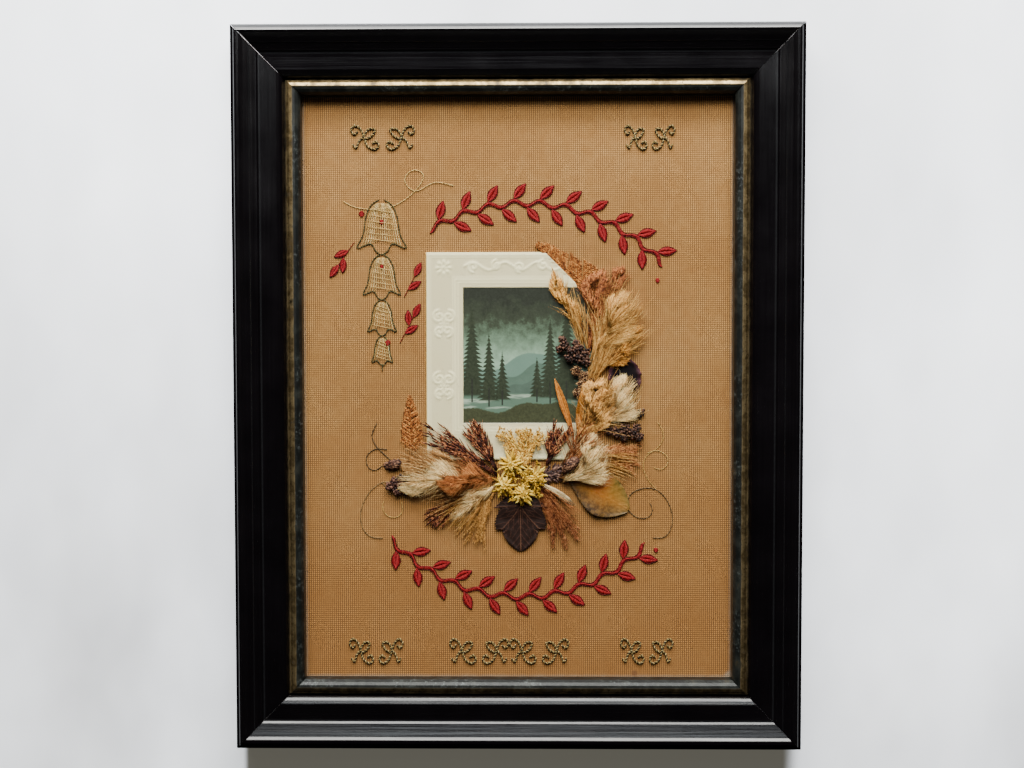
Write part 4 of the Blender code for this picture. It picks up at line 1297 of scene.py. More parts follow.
def make_grasses():
    """The fine grasses and the dark sprays."""
    rust = fibres("rust_grass", (80, 40, 22), (156, 90, 52), (194, 136, 88), mottle=0.8)
    dry = fibres("tan_grass", (104, 64, 26), (188, 134, 64), (226, 176, 102))
    pink = fibres("pink_grass", (104, 52, 26), (192, 122, 68), (230, 170, 110))
    feather_grass("grass_tan", dry)
    feather_grass("grass_rust", rust)
    feather_grass("grass_pink", pink)
    dark_red = fibres("dark_red_blades", (28, 10, 7), (92, 42, 26), (192, 126, 80), 0.6)
    for node in ("spray_rust", "spray_dark_left", "spray_dark_mid", "spray_dark_right"):
        bladed_spray(node, dark_red)


def make_flowers():
    """The yellow feathery flowers and the straw flowers."""
    yellow = fibres("yellow_bracts", (128, 79, 24), (208, 154, 64), (238, 205, 110))
    gold_flowers("flowers_gold", yellow)
    star = fibres("star_bracts", (92, 60, 12), (212, 166, 48), (248, 221, 112), 0.5, mottle=0.3)
    for node in STRAW_HEADS:
        straw_head(node, star)
    small_bracts(star)


def make_leaves():
    """The pressed leaves, the petal and the two fern fronds."""
    brown_leaf = fibres("dark_leaf_veins", (34, 20, 15), (63, 38, 29), (122, 86, 62), 0.6,
                        spread=0.08, mottle=0.2)
    lobed_leaf("leaf_lobed", brown_leaf)
    oval_leaf("leaf_oval", oval_leaf_skin())
    tawny = fibres("tawny_leaf", (104, 54, 17), (178, 106, 36), (216, 152, 70), 0.6, mottle=0.5)
    for node in ("leaf_lance_left", "leaf_lance_right"):
        folded_leaf(node, tawny)
    purple = fibres("purple_petal", (9, 5, 7), (24, 12, 15), (82, 44, 52), roughness=0.7,
                    shine=0.15, spread=0.15, mottle=0.3)
    curled_petal("petal_purple", purple)
    frond = fibres("fern_frond", (98, 50, 18), (168, 100, 44), (208, 146, 78), spread=0.2)
    fern("fern_left", leaf_bed, frond, pairs=17, leaflets=7, slope=0.16)
    fern("fern_right", right_fern_bed, frond, pairs=22, leaflets=12, slope=0.2, left=0.4, right=0.95)


def make_seeds_and_buds():
    """The seed heads, the buds, the white quill and the small crumpled leaves."""
    seeds = fibres("dark_seeds", (17, 9, 7), (48, 27, 20), (112, 77, 57), 0.6, 0.25)
    seed_cluster("seeds_upper", seeds, small=12, radius=1.1)
    seed_cluster("seeds_right", seeds, small=13, radius=1.0, hairs=6)
    wine = fibres("wine_berries", (24, 11, 11), (58, 31, 26), (122, 84, 66), 0.55, 0.25)
    seed_cluster("berries", wine, small=11, radius=1.15)
    brown = fibres("brown_heads", (38, 21, 13), (92, 57, 35), (178, 140, 96))
    seed_cluster("flowers_brown", brown, small=20, radius=0.7, hairs=26)
    seed_twig("seeds_twig", seeds)
    bud = fibres("brown_bud", (36, 20, 16), (80, 50, 38), (160, 118, 88), 0.5)
    scaly_bud("bud_left", bud)
    scaly_bud("bud_right", bud)
    pale = fibres("white_quill", (130, 100, 60), (200, 172, 122), (236, 216, 170), mottle=0.3)
    white_quill("quill_white", pale)
    crumpled = fibres("crumpled_leaves", (28, 16, 18), (62, 40, 38), (140, 108, 90), 0.5)
    dark_leaves("leaves_dark", crumpled)


def oval_leaf_skin():
    """Tan going green and orange, with a brown lower edge."""
    finish = Finish("oval_leaf_skin", roughness=0.55, specular_ior_level=0.3)
    lane = finish.said("shade")
    share = finish.said("along")
    cloud = finish.noise(7.0, 3.0)
    streak = finish.noise(2.2, 3.0, rough=0.65)
    base = finish.ramp(lane * 0.7 + cloud * 0.3, (0.16, shade_of(34, 24, 12)), (0.32, shade_of(96, 62, 22)),
                       (0.5, shade_of(156, 98, 28)), (0.66, shade_of(148, 104, 34)),
                       (0.86, shade_of(90, 82, 34)))
    warm = (share.near(0.42, 0.2) * lane.near(0.8, 0.4)).held()
    spotted = finish.mix(warm, base, shade_of(190, 76, 28))
    tip = share.above(0.8, 0.2)
    brown = finish.mix(tip * 0.45, spotted, shade_of(98, 86, 46))
    finish.colour(finish.mix(streak.above(0.5, 0.12) * 0.2, brown, shade_of(192, 142, 70)))
    finish.bump(streak, 0.25)
    return finish.material


def stretched_ground():
    """The ground as one sheet over the board, with the faint waves of an old stretched cloth."""
    low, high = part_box("stitched_ground")
    across = (high.x - low.x) / MM
    tall = (high.z - low.z) / MM
    columns = 60
    rows = 79
    share = np.linspace(0.0, 1.0, rows)[:, None]
    lane = np.linspace(0.0, 1.0, columns)[None]
    x = low.x / MM + across * lane + 0 * share
    z = low.z / MM + tall * share + 0 * lane
    wave = 0.05 * np.sin(x * 0.09 + z * 0.021) * np.sin(z * 0.061 - 0.8)
    heap = Heap()
    top = lifted(np.stack((x, z), -1), GROUND_FRONT - 0.06 + wave)[:, ::-1]
    heap.slab(top, GROUND_FRONT - GROUND_BACK - 0.15, 0.5, 0.5)
    piece = heap.piece("tan_ground_sheet", tan_ground())
    settle(piece, "ground", "stitched_ground")


def ridge(x, z, line, wide):
    """How near the points of a grid are to a line, from 1 on it to 0."""
    far = np.full(x.shape, 1e9)
    for point_x, point_z in line:
        far = np.minimum(far, (x - point_x) ** 2 + (z - point_z) ** 2)
    return np.exp(-far / wide ** 2)


def spiral(middle_x, middle_z, start, turns, first, last, steps=60):
    """Points on a spiral from one radius to another, as x, z."""
    made = []
    for step in range(steps + 1):
        share = step / steps
        angle = start + turns * 2 * math.pi * share
        radius = first + (last - first) * share
        made.append((middle_x + radius * math.cos(angle), middle_z + radius * math.sin(angle)))
    return made


def rosette(x, z, middle_x, middle_z, radius, petals):
    """A round raised flower."""
    out = np.hypot(x - middle_x, z - middle_z)
    turn = np.arctan2(z - middle_z, x - middle_x)
    petal = np.cos(turn * petals / 2) ** 2
    body = np.exp(-((out - radius * 0.6) / (radius * 0.28)) ** 2) * petal
    return np.maximum(body, np.exp(-(out / (radius * 0.2)) ** 2))


def card_relief(x, z):
    """The embossing on the card, in millimetres over its face."""
    gap_left = WINDOW_LEFT - x
    gap_top = z - WINDOW_TOP
    gap_low = WINDOW_BOTTOM - z
    around = np.maximum(np.maximum(gap_left, gap_top), gap_low)
    edge = np.minimum(np.minimum(x - CARD_LEFT, CARD_TOP - z), z - CARD_FOOT)
    raised = np.zeros(x.shape)
    for place, size in ((3.4, 0.16), (5.4, 0.24), (7.0, 0.12)):
        raised += size * np.exp(-((around - place) / 0.45) ** 2)
    for place, size in ((1.8, 0.22), (3.4, 0.12)):
        raised += size * np.exp(-((edge - place) / 0.5) ** 2)
    raised -= 0.3 * np.clip(1.0 - edge / 0.8, 0.0, 1.0)
    vine = [(-36.0 + step * 0.7, BORDER_Z + 2.6 * math.sin(step * 0.2)) for step in range(110)]
    marks = [0.34 * ridge(x, z, vine, 0.7)]
    for number in range(5):
        turned = 1 if number % 2 else -1
        curl = spiral(-30.0 + number * 15.7, BORDER_Z + turned * 0.6, 1.6 * turned, 1.3 * turned, 3.6, 0.6)
        marks.append(0.36 * ridge(x, z, curl, 0.62))
    for middle, radius, petals, height in ROSETTES:
        marks.append(height * rosette(x, z, BORDER_X, middle, radius, petals))
    for middle, _, _, _ in ROSETTES[1:3]:
        for side in (-1, 1):
            high = spiral(BORDER_X + side * 3.4, middle + 5.0, math.pi / 2, -1.4 * side, 4.4, 0.7)
            low = spiral(BORDER_X + side * 2.8, middle - 5.0, -math.pi / 2, 1.3 * side, 3.6, 0.7)
            marks.extend(0.36 * ridge(x, z, scroll, 0.65) for scroll in (high, low))
    return raised + np.maximum.reduce(marks)


def embossed_card():
    """The card: relief pressed into its border, a sunk window, and a cut right side."""
    pace = 0.74
    slope = 0.25
    columns = np.unique(np.round(np.concatenate((
        np.arange(CARD_LEFT, CARD_RIGHT, pace), (WINDOW_LEFT - slope, WINDOW_LEFT, CARD_RIGHT))), 3))
    rows = np.unique(np.round(np.concatenate((
        np.arange(CARD_FOOT, CARD_TOP, pace),
        (WINDOW_BOTTOM - slope, WINDOW_BOTTOM, WINDOW_TOP, WINDOW_TOP + slope, CARD_TOP))), 3))
    x, z = np.meshgrid(columns, rows)
    window = (x >= WINDOW_LEFT) & (z >= WINDOW_BOTTOM) & (z <= WINDOW_TOP)
    height = np.where(window, CARD_FRONT - WINDOW_DEEP, CARD_FRONT - 0.05 + RELIEF * card_relief(x, z))
    work = bmesh.new()
    corners = [[work.verts.new((x[r, c] * MM, -height[r, c] * MM, z[r, c] * MM))
                for c in range(len(columns))] for r in range(len(rows))]
    for r in range(len(rows) - 1):
        for c in range(len(columns) - 1):
            face = work.faces.new((corners[r][c], corners[r][c + 1],
                                   corners[r + 1][c + 1], corners[r + 1][c]))
            face.material_index = int(window[r, c] and window[r + 1, c + 1])
            face.smooth = True
    for (from_x, from_z), (to_x, to_z) in zip(CARD[1:6], CARD[2:7]):
        away = Vector((-(to_z - from_z), 0.0, to_x - from_x))
        bmesh.ops.bisect_plane(work, geom=work.verts[:] + work.edges[:] + work.faces[:], clear_outer=True,
                               plane_co=(from_x * MM, 0.0, from_z * MM), plane_no=away, dist=1e-7)
    rim = [edge for edge in work.edges if edge.is_boundary]
    grown = bmesh.ops.extrude_edge_only(work, edges=rim)["geom"]
    for corner in (part for part in grown if isinstance(part, bmesh.types.BMVert)):
        corner.co.y = -CARD_BACK * MM
    low_rim = [part for part in grown if isinstance(part, bmesh.types.BMEdge) and part.is_boundary]
    bmesh.ops.contextual_create(work, geom=low_rim)
    bmesh.ops.recalc_face_normals(work, faces=work.faces)
    mesh = bpy.data.meshes.new("embossed_card")
    work.to_mesh(mesh)
    work.free()
    mesh.materials.append(cream_card())
    mesh.materials.append(misty_print())
    settle(show(bpy.data.objects.new("embossed_card", mesh)), "card", "picture_card")


def straight_stitches(heap, starts, ends, radius, rise, shade):
    """Stitches that leave the ground, lie proud of it, and go back in."""
    starts = np.asarray(starts, float)
    ends = np.asarray(ends, float)
    share = np.array((0.0, 0.16, 0.5, 0.84, 1.0))
    lift = np.array((-0.3, 0.8, 1.0, 0.8, -0.3)) * rise
    line = starts[:, None] + (ends - starts)[:, None] * share[:, None]
    width = radius * np.array((0.7, 1.0, 1.05, 1.0, 0.7))
    # painted light and shade: each stitch is lighter in its raised middle and darker at its ends, where it
    # goes into the ground
    heap.tubes(lifted(line, GROUND_FRONT + radius * 0.4 + lift), width, width * 0.9, 4, shade,
               np.abs(share - 0.5) * -1.4 + 1.0)


def stem_stitch(heap, line, radius, shade, pace=1.9, rise=0.45):
    """A line of slanted stitches, each starting beside the one before it."""
    line = np.asarray(line, float)
    steps = np.hypot(*np.diff(line, axis=0).T)
    run = np.concatenate(((0.0,), np.cumsum(steps)))
    count = max(1, int(run[-1] / pace))
    first = np.linspace(0.0, run[-1], count + 1)[:-1]
    last = np.minimum(first + run[-1] / count * 1.35, run[-1])
    starts = along_line(first, run, line)
    ends = along_line(last, run, line)
    way = ends - starts
    aside = beside(way) / (np.hypot(*way.T)[:, None] + 1e-9) * radius * 0.45
    tone = np.broadcast_to(shade, (count,)) + 0.12 * np.sin(np.arange(count) * 2.1)
    straight_stitches(heap, starts + aside, ends - aside, radius, rise, np.clip(tone, 0, 1))


def satin_leaf(heap, base, axis, across, length, width, tone, gap=0.62, radius=0.33):
    """A leaf of satin stitch: two slanted rows from the midrib, inside a darker outline."""
    rows = max(4, int(length * 0.86 / gap))
    share = np.linspace(0.1, 0.95, rows)[:, None]
    half = np.interp(share, LEAF_SHARES, LEAF_FULL) * width * 0.92
    rib = base + axis * (np.maximum(share - 0.13, 0.02) * length)
    for side in (-1.0, 1.0):
        edge = base + axis * (share * length) + across * (side * half)
        straight_stitches(heap, rib, edge, radius, 0.5, tone + 0.1 * np.sin(np.arange(rows) * 1.7 + side))
    share = np.array(LEAF_SHARES)[:, None]
    full = np.array(LEAF_FULL)[:, None] * width
    for side in (-1.0, 1.0):
        line = base + axis * (share * length) + across * (side * full)
        stem_stitch(heap, smooth_line(line, 0.6), *OUTLINE, pace=1.7, rise=0.5)


def garland(node, finish):
    """A vine on an arc: a wavy stem in slanted satin stitch, with a leaf on each side in turn."""
    middle_x, middle_z, radius, first, last, pairs = GARLANDS[node]
    heap = Heap()
    steps = pairs * 22
    share = np.linspace(0.0, 1.0, steps + 1)
    angle = np.radians(first + (last - first) * share)
    out = np.stack((np.cos(angle), np.sin(angle)), -1)
    turning = -1.0 if last < first else 1.0
    along = beside(out) * turning
    wave = -STEM_WAVE * np.cos(share * pairs * 2 * math.pi)
    line = np.array((middle_x, middle_z)) + out * (radius + wave)[:, None]
    half = STEM_WIDE / 2 * np.minimum(1.0, 0.35 + np.minimum(share, 1 - share) * pairs * 6)[:, None]
    slant = along * 0.9
    tone = 0.55 + 0.12 * np.sin(np.arange(steps + 1) * 1.3)
    straight_stitches(heap, line - out * half * 0.8 - slant, line + out * half * 0.8 + slant, 0.34, 0.5, tone)
    for side in (-1.0, 1.0):
        stem_stitch(heap, line + out * half * side, *OUTLINE, pace=1.9, rise=0.42)
    lean = math.radians(LEAF_LEAN)
    for number in range(2 * pairs):
        side = 1.0 if number % 2 else -1.0
        step = round(number * steps / (2 * pairs))
        if not 0 < step < steps:
            continue
        leaving = out[step] * side
        axis = along[step] * math.sin(lean) + leaving * math.cos(lean)
        across = along[step] * math.cos(lean) - leaving * math.sin(lean)
        base = line[step] + leaving * STEM_WIDE / 2
        satin_leaf(heap, base, axis, across, LEAF_LONG, LEAF_WIDE, 0.62)
    settle(heap.piece(node + "_stitches", finish), "red_thread", node)


# Red sprigs beside the husk drop: foot x, z, tip x, z, leaves. Then a leaf's length and width,
# and the red dots: x, z, radius
SPRIGS = ((-110.5, 99.5, -127.0, 76.0, 3), (-77.0, 62.0, -66.0, 84.0, 2), (-80.0, 31.0, -66.0, 58.0, 3))
SPRIG_LEAF = (10.5, 5.0)
RED_DOTS = ((-105.5, 118.5, 1.9), (-92.0, 113.0, 1.5), (-88.2, 31.4, 1.8), (-92.0, 83.0, 1.2))
RED_ENDS = ((94.5, 73.3, 1.4), (94.0, -110.0, 1.5))
# The thin gold scroll over the husk drop: x, z along it
FLOURISH = (
    (-118.0, 127.0), (-110.0, 123.0), (-98.0, 121.5), (-83.6, 123.8), (-70.0, 133.0), (-63.1, 144.0),
    (-70.5, 148.0), (-76.5, 141.0), (-69.0, 133.5), (-56.0, 139.5), (-42.7, 137.2),
)


def husk_side(top, length, half, side):
    """One side of a husk's outline, as x, z."""
    return [(HUSK_X + side * out * half, top - down * length) for down, out in HUSK_SHAPE]


def husk_drop(outline, filling):
    """The tall ornament: husks outlined in dark green, filled with long pale yellow stitches."""
    dark = Heap()
    pale = Heap()
    for top, length, half in HUSKS:
        for side in (-1.0, 1.0):
            line = smooth_line(husk_side(top, length, half, side), 0.7)
            stem_stitch(dark, line, *HUSK_THREAD, pace=1.8, rise=0.5)
        inner = [(HUSK_X - half * 0.26, top - 0.9 * length), (HUSK_X, top - 0.98 * length),
                 (HUSK_X + half * 0.26, top - 0.9 * length)]
        stem_stitch(dark, smooth_line(inner, 0.7), *HUSK_THREAD, pace=1.8, rise=0.5)
        rows = max(5, int(half * 0.95))
        for lane in np.linspace(-0.86, 0.86, rows):
            down = np.linspace(0.06, 0.84 - 0.1 * (1 - abs(lane)), 8)
            full = np.interp(down, HUSK_DOWN, HUSK_FULL) * half
            line = np.stack((HUSK_X + lane * full, top - down * length), -1)
            stem_stitch(pale, line, 0.22, 0.5 + 0.4 * math.sin(lane * 9), pace=5.5, rise=0.35)
        bars = np.linspace(0.2, 0.72, 6)
        full = np.interp(bars, HUSK_DOWN, HUSK_FULL) * half * 0.9
        starts = np.stack((HUSK_X - full, top - bars * length + 1.5), -1)
        ends = np.stack((HUSK_X + full, top - bars * length - 1.5), -1)
        straight_stitches(pale, starts, ends, radius=0.18, rise=0.85, shade=0.25)
    tip = HUSKS[-1][0] - HUSKS[-1][1]
    stem_stitch(dark, [(HUSK_X, tip + 2.0), (HUSK_X, tip - 3.0)], *HUSK_THREAD)
    settle(dark.piece("husk_drop_outline", outline), "yellow_thread", "husk_drop")
    settle(pale.piece("husk_drop_filling", filling), "yellow_thread")


def red_details(finish):
    """Red sprigs beside the husk drop, and small round dots."""
    heap = Heap()
    for foot_x, foot_z, tip_x, tip_z, leaves in SPRIGS:
        foot = np.array((foot_x, foot_z))
        run = np.array((tip_x, tip_z)) - foot
        length = np.hypot(*run)
        axis = run / length
        aside = beside(axis)
        stem_stitch(heap, [tuple(foot), tuple(foot + run * 0.9)], 0.25, 0.2)
        for number in range(leaves):
            side = 1.0 if number % 2 else -1.0
            lean = 0.55 if number < leaves - 1 else 0.0
            way = axis * math.cos(lean) + aside * side * math.sin(lean)
            base = foot + run * (0.25 + 0.4 * number / max(leaves - 1, 1))
            satin_leaf(heap, base, way, beside(way), *SPRIG_LEAF, 0.6)
    for x, z, radius in RED_DOTS + RED_ENDS:
        lanes = np.linspace(-0.85, 0.85, 6)
        half = np.sqrt(1.0 - lanes ** 2) * radius
        starts = np.stack((x - half, z + lanes * radius), -1)
        ends = np.stack((x + half, z + lanes * radius), -1)
        straight_stitches(heap, starts, ends, radius=0.32, rise=0.6, shade=0.6)
    settle(heap.piece("red_sprigs_and_dots", finish), "red_thread")


# Tendrils: radius, shade, then x, z along each
DARK_TENDRILS = (
    (0.34, 0.3, ((-96.0, -23.3), (-98.2, -28.0), (-99.5, -32.3), (-96.5, -39.0), (-92.6, -43.0),
                 (-86.5, -48.5))),
    (0.32, 0.35, ((-89.0, -41.2), (-96.0, -40.6), (-101.5, -43.5), (-103.6, -48.5), (-101.5, -54.0),
                  (-97.0, -55.5), (-92.1, -52.0))),
    (0.26, 0.7, ((-86.5, -63.5), (-93.2, -63.9), (-100.5, -69.5), (-105.8, -78.5), (-107.4, -88.0),
                 (-105.0, -97.0), (-99.0, -101.5), (-92.3, -101.8))),
    (0.24, 0.6, ((-88.8, -68.0), (-93.0, -63.5))),
    (0.28, 0.45, ((89.5, -77.5), (91.6, -81.5), (90.4, -86.0), (86.0, -88.4), (80.0, -87.0),
                  (75.2, -82.5), (74.4, -76.5), (77.4, -71.0), (83.0, -68.2), (90.5, -67.4),
                  (97.0, -70.5), (102.3, -77.5), (105.0, -86.0), (104.4, -94.5), (99.8, -101.0),
                  (91.6, -101.6))),
)
GOLD_TENDRILS = (
    (0.2, 0.4, ((-91.5, -76.5), (-92.5, -81.0), (-90.0, -86.0), (-84.7, -88.0), (-80.0, -86.0),
                (-78.5, -81.8), (-79.5, -77.0))),
    (0.2, 0.4, ((94.5, -22.5), (98.2, -28.0), (98.6, -34.4), (94.5, -40.5), (88.5, -44.5),
                (85.2, -50.0), (86.2, -57.5), (90.0, -64.0), (94.5, -69.0))),
    (0.2, 0.5, ((87.5, -44.0), (93.1, -41.9), (98.8, -43.5), (102.0, -47.5), (101.0, -52.5),
                (97.0, -55.2), (92.5, -53.5))),
)


def tendrils(dark, gold):
    """The thin scrolls that curl out of the spray."""
    for name, table, finish, slot in (("dark_tendrils", DARK_TENDRILS, dark, None),
                                      ("gold_tendrils", GOLD_TENDRILS + ((0.24, 0.7, FLOURISH),), gold,
                                       "yellow_thread")):
        heap = Heap()
        for radius, shade, points in table:
            stem_stitch(heap, smooth_line(points, 0.8), radius, shade, pace=2.6, rise=0.32)
        settle(heap.piece(name, finish), slot)


# The cord's half thickness, the step between its points, and its length for one twist
CORD = 0.42
CORD_PACE = 0.34
CORD_TWIST = 2.1
# Corded ornaments: middle x, z, width, height, repeats
CORDED = (
    (-90.9, 169.8, 44.0, 16.0, 2), (88.8, 169.2, 34.0, 16.0, 2), (-97.2, -179.5, 37.0, 17.0, 2),
    (-6.1, -179.4, 82.0, 17.0, 4), (87.8, -179.2, 36.0, 17.0, 2),
)


# One small scroll in shares of its half width and half height: an S, a leaf on its back, and a stem
SCROLL_LINES = (
    ((-0.30, -0.55), (-0.62, -0.35), (-0.74, -0.72), (-0.40, -1.0), (0.02, -0.70), (0.16, 0.0),
     (0.30, 0.68), (0.66, 0.98), (0.96, 0.62), (0.80, 0.26), (0.52, 0.48)),
    ((0.12, -0.15), (-0.34, 0.10), (-0.66, 0.62), (-0.30, 0.72), (0.02, 0.40), (0.16, 0.02)),
    ((0.18, 0.05), (0.52, -0.30), (0.78, -0.86), (0.98, -0.60)),
)


def scroll_unit(middle_x, middle_z, wide, tall, turned):
    """The lines of one small scroll, as x, z."""
    half = wide / 2
    high = tall / 2
    lean = 0.28 * turned
    made = []
    for line in SCROLL_LINES:
        made.append([(middle_x + turned * x * half + lean * z * high * 0.5, middle_z + z * high)
                     for x, z in line])
    return made


def twisted_cord(dark, gold, line, radius):
    """Two strands, one dark and one gold, twisted round each other along a line."""
    path = smooth_line(line, CORD_PACE)
    way = np.gradient(path, axis=0)
    way = way / (np.hypot(*way.T)[:, None] + 1e-9)
    aside = beside(way)
    run = np.arange(len(path)) * CORD_PACE
    for heap, start in ((dark, 0.0), (gold, math.pi)):
        turn = run * 2 * math.pi / CORD_TWIST + start
        strand = path + aside * (np.cos(turn) * radius)[:, None]
        height = GROUND_FRONT + radius * 1.7 + np.sin(turn) * radius
        heap.tubes(lifted(strand, height)[None], radius * 0.92, radius * 0.92, 5,
                   np.array([0.5]), 0.5 + 0.5 * np.sin(turn * 3))


def corded_ornaments(dark_finish, gold_finish):
    """The small scrolls at the top and bottom, in twisted dark and gold cord."""
    dark = Heap()
    gold = Heap()
    for middle_x, middle_z, width, height, repeats in CORDED:
        unit = width / repeats
        for number in range(repeats):
            x = middle_x - width / 2 + unit * (number + 0.5)
            turned = 1.0 if number % 2 else -1.0
            for line in scroll_unit(x, middle_z, unit * 0.92, height, turned):
                twisted_cord(dark, gold, line, CORD)
    settle(dark.piece("dark_scroll_cord", dark_finish))
    settle(gold.piece("gold_scroll_cord", gold_finish), "yellow_thread")


def make_stitching():
    """Everything that is sewn on the ground."""
    red = fibres("red_silk", (58, 6, 9), (132, 17, 24), (172, 46, 44), roughness=0.55,
                 shine=0.2, spread=0.2, mottle=0.2)
    green = fibres("dark_green_thread", (26, 28, 18), (58, 58, 34), (112, 104, 62), 0.6, mottle=0.2)
    yellow = fibres("pale_yellow_thread", (150, 118, 62), (206, 174, 108), (232, 208, 146), 0.5, mottle=0.2)
    brown = fibres("brown_thread", (44, 34, 24), (92, 72, 46), (150, 122, 78), 0.6, mottle=0.2)
    gold = fibres("gold_thread", (126, 96, 44), (186, 148, 80), (224, 194, 124), 0.45, mottle=0.2)
    for node in GARLANDS:
        garland(node, red)
    husk_drop(green, yellow)
    red_details(red)
    tendrils(brown, gold)
    metal = fibres("gold_cord", (96, 78, 40), (164, 140, 84), (226, 206, 148), 0.35, mottle=0.3)
    corded_ornaments(fibres("dark_cord", (30, 26, 18), (64, 54, 36), (120, 104, 72), 0.4, mottle=0.3), metal)


def finish_frame():
    """The rails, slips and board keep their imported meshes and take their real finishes."""
    polish = black_polish()
    gilt = worn_gilt()
    board = bare_board()
    for name, piece in frame["nodes"].items():
        chosen = {"rail": polish, "slip": gilt, "back": board}.get(name.split("_")[0])
        if chosen:
            piece.data.materials.clear()
            piece.data.materials.append(chosen)


# How far below the frame the painted shadow on the wall reaches, as the light comes from above
SHADOW_DROP = 150.0


def wall_finish():
    """A pale wall seen from its front alone: a painted glow, and a painted shadow under the frame."""
    finish = Finish("pale_wall", roughness=0.9, emission_strength=2.4)
    cloud = finish.noise(120.0, 3.0)
    crease = finish.noise(230.0, 2.0, (1.0, 0.45, 1.0), 0.4)
    x, _, z = finish.where_in_room()
    fold = finish.noise(90.0, 3.0, (1.0, 0.6, 1.0), 0.55)
    # painted light: the glow grows brighter towards the top and the left, and lighter and darker over soft
    # creases
    fall = crease * 1.3 + fold * 0.65 - 0.42 + z * 0.00095 - x * 0.00015
    # painted shadow: under the frame the wall's colour and its glow turn dark
    under = z + HALF_HIGH
    shadow = under.below(4.0, 2.0) * under.above(-SHADOW_DROP, 40.0)
    shadow = shadow * (x + HALF_WIDE).above(0.5, 2.5) * (HALF_WIDE - x).above(1.0, 7.0)
    pale = finish.mix(cloud, shade_of(226, 228, 234), shade_of(238, 240, 245))
    finish.colour(finish.mix(shadow, pale, shade_of(40, 38, 34)))
    light = finish.mix(cloud, (0.86, 0.92, 1.0), (0.96, 0.99, 1.0))
    glow = finish.mix(fall.held(), (0.0, 0.0, 0.0), light)
    finish.feed(finish.shader.inputs["Emission Color"], finish.mix(shadow, glow, (0.046, 0.044, 0.036)))
    behind = finish.node("ShaderNodeNewGeometry", output=6)
    finish.blend(behind, finish.node("ShaderNodeBsdfTransparent"))
    return finish.material


# The stage in metres: the wall's size, squares and place, its creases' depth, and the floor
WALL_SIZE = (3.2, 2.6)
WALL_SQUARES = (110, 90)
WALL_PLACE = (0.0, 0.0006, 0.1)
CREASE_DEEP = 0.0016
FLOOR_SIZE = (5.0, 5.0)
FLOOR_SQUARES = (4, 4)
FLOOR_PLACE = (0.0, -0.9, -1.2)


def plane(name, wide, deep, columns, rows, finish):
    """A flat piece of the stage, which is no part of the picture."""
    bpy.ops.mesh.primitive_grid_add(x_subdivisions=columns, y_subdivisions=rows, size=1.0)
    piece = bpy.context.object
    piece.name = name
    for corner in piece.data.vertices:
        corner.co.x *= wide
        corner.co.y *= deep
    piece.data.materials.append(finish)
    piece.data.shade_smooth()
    return piece


def make_stage():
    """A pale wall with soft creases behind the picture, and a grey floor well under it."""
    wall = plane("wall", *WALL_SIZE, *WALL_SQUARES, wall_finish())
    wall.rotation_euler = (math.pi / 2, 0.0, 0.0)
    wall.location = WALL_PLACE
    for corner in wall.data.vertices:
        x = corner.co.x * 10
        z = corner.co.y * 10
        crease = math.sin(x * 2.1 + 1.4 * math.sin(z * 0.9)) * math.sin(z * 1.3 + 0.6 * math.sin(x * 1.7))
        corner.co.z = -CREASE_DEEP * (0.5 + 0.5 * crease)
    floor = Finish("grey_floor", roughness=0.8)
    floor.colour(floor.mix(floor.noise(200.0, 3.0), shade_of(44, 43, 42), shade_of(56, 55, 53)))
    ground = plane("floor", *FLOOR_SIZE, *FLOOR_SQUARES, floor.material)
    ground.location = FLOOR_PLACE


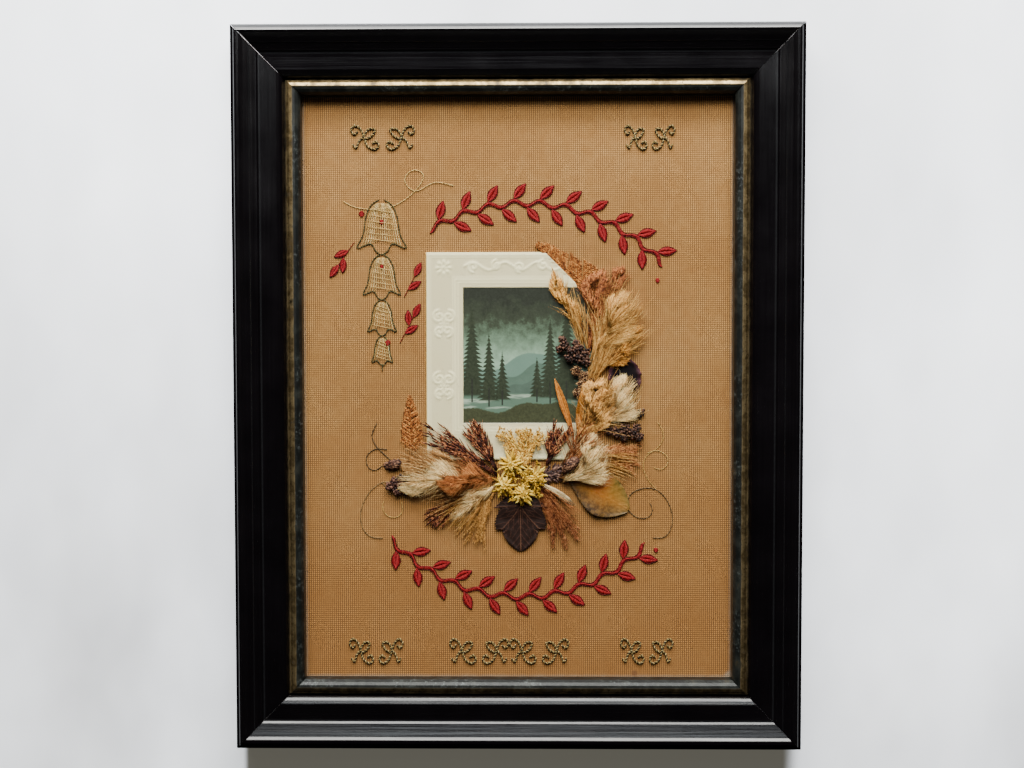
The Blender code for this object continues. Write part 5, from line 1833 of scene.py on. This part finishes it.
# Area lights: name, place and aim in metres, width, height, power, colour
LIGHTS = (
    ("window", (-0.03, -1.08, 1.16), (0.0, 0.0, 0.0), 1.42, 0.5, 35.0, (1.0, 0.99, 0.94)),
    ("window_top", (-0.05, -0.55, 1.28), (0.0, 0.0, 0.0), 1.7, 0.3, 37.0, (1.0, 0.99, 0.96)),
    ("soft_front", (0.0, -1.95, 1.09), (0.0, 0.0, 0.0), 1.5, 0.3, 8.5, (0.88, 0.95, 1.0)),
    ("behind", (0.5, 1.6, 0.9), (0.0, 0.0, 0.0), 1.4, 1.0, 20.0, (1.0, 1.0, 1.0)),
)
# How bright the sky is as a light, and where the camera sees it
SKY_STRENGTH = 0.025
SKY_SEEN = 0.8


def make_lights():
    """The lamps and the faint light of the room."""
    for name, place, aim, wide, high, power, colour in LIGHTS:
        light = bpy.data.lights.new(name, "AREA")
        light.shape = "RECTANGLE"
        light.size = wide
        light.size_y = high
        light.energy = power
        light.color = colour
        lamp = show(bpy.data.objects.new(name, light))
        lamp.location = place
        lamp.rotation_euler = (Vector(aim) - Vector(place)).to_track_quat("-Z", "Y").to_euler()
    world = bpy.data.worlds.new("room")
    bpy.context.scene.world = world
    world.use_nodes = True
    nodes = world.node_tree.nodes
    sky = nodes["Background"]
    sky.inputs["Color"].default_value = (1.0, 0.98, 0.94, 1.0)
    ray = nodes.new("ShaderNodeLightPath")
    strength = nodes.new("ShaderNodeMix")
    strength.inputs[2].default_value = SKY_STRENGTH
    strength.inputs[3].default_value = SKY_SEEN
    world.node_tree.links.new(ray.outputs["Is Camera Ray"], strength.inputs[0])
    world.node_tree.links.new(strength.outputs[0], sky.inputs["Strength"])


def make_camera():
    """The camera that took the photograph."""
    data = bpy.data.cameras.new("camera")
    data.sensor_width = SENSOR_WIDE
    data.lens = FOCAL_PIXELS * SENSOR_WIDE / IMAGE_WIDE
    data.clip_start = 0.01
    eye = show(bpy.data.objects.new("camera", data))
    turn = Matrix.Identity(3)
    for degrees, axis in CAMERA_TURNS:
        turn = turn @ Matrix.Rotation(math.radians(degrees), 3, axis)
    eye.rotation_euler = turn.to_euler()
    eye.location = Vector(CAMERA_PLACE) * MM
    bpy.context.scene.camera = eye


def main():
    finish_frame()
    stretched_ground()
    embossed_card()
    make_stitching()
    make_plumes()
    make_grasses()
    make_flowers()
    make_leaves()
    make_seeds_and_buds()
    make_stage()
    make_lights()
    make_camera()
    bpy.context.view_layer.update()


main()
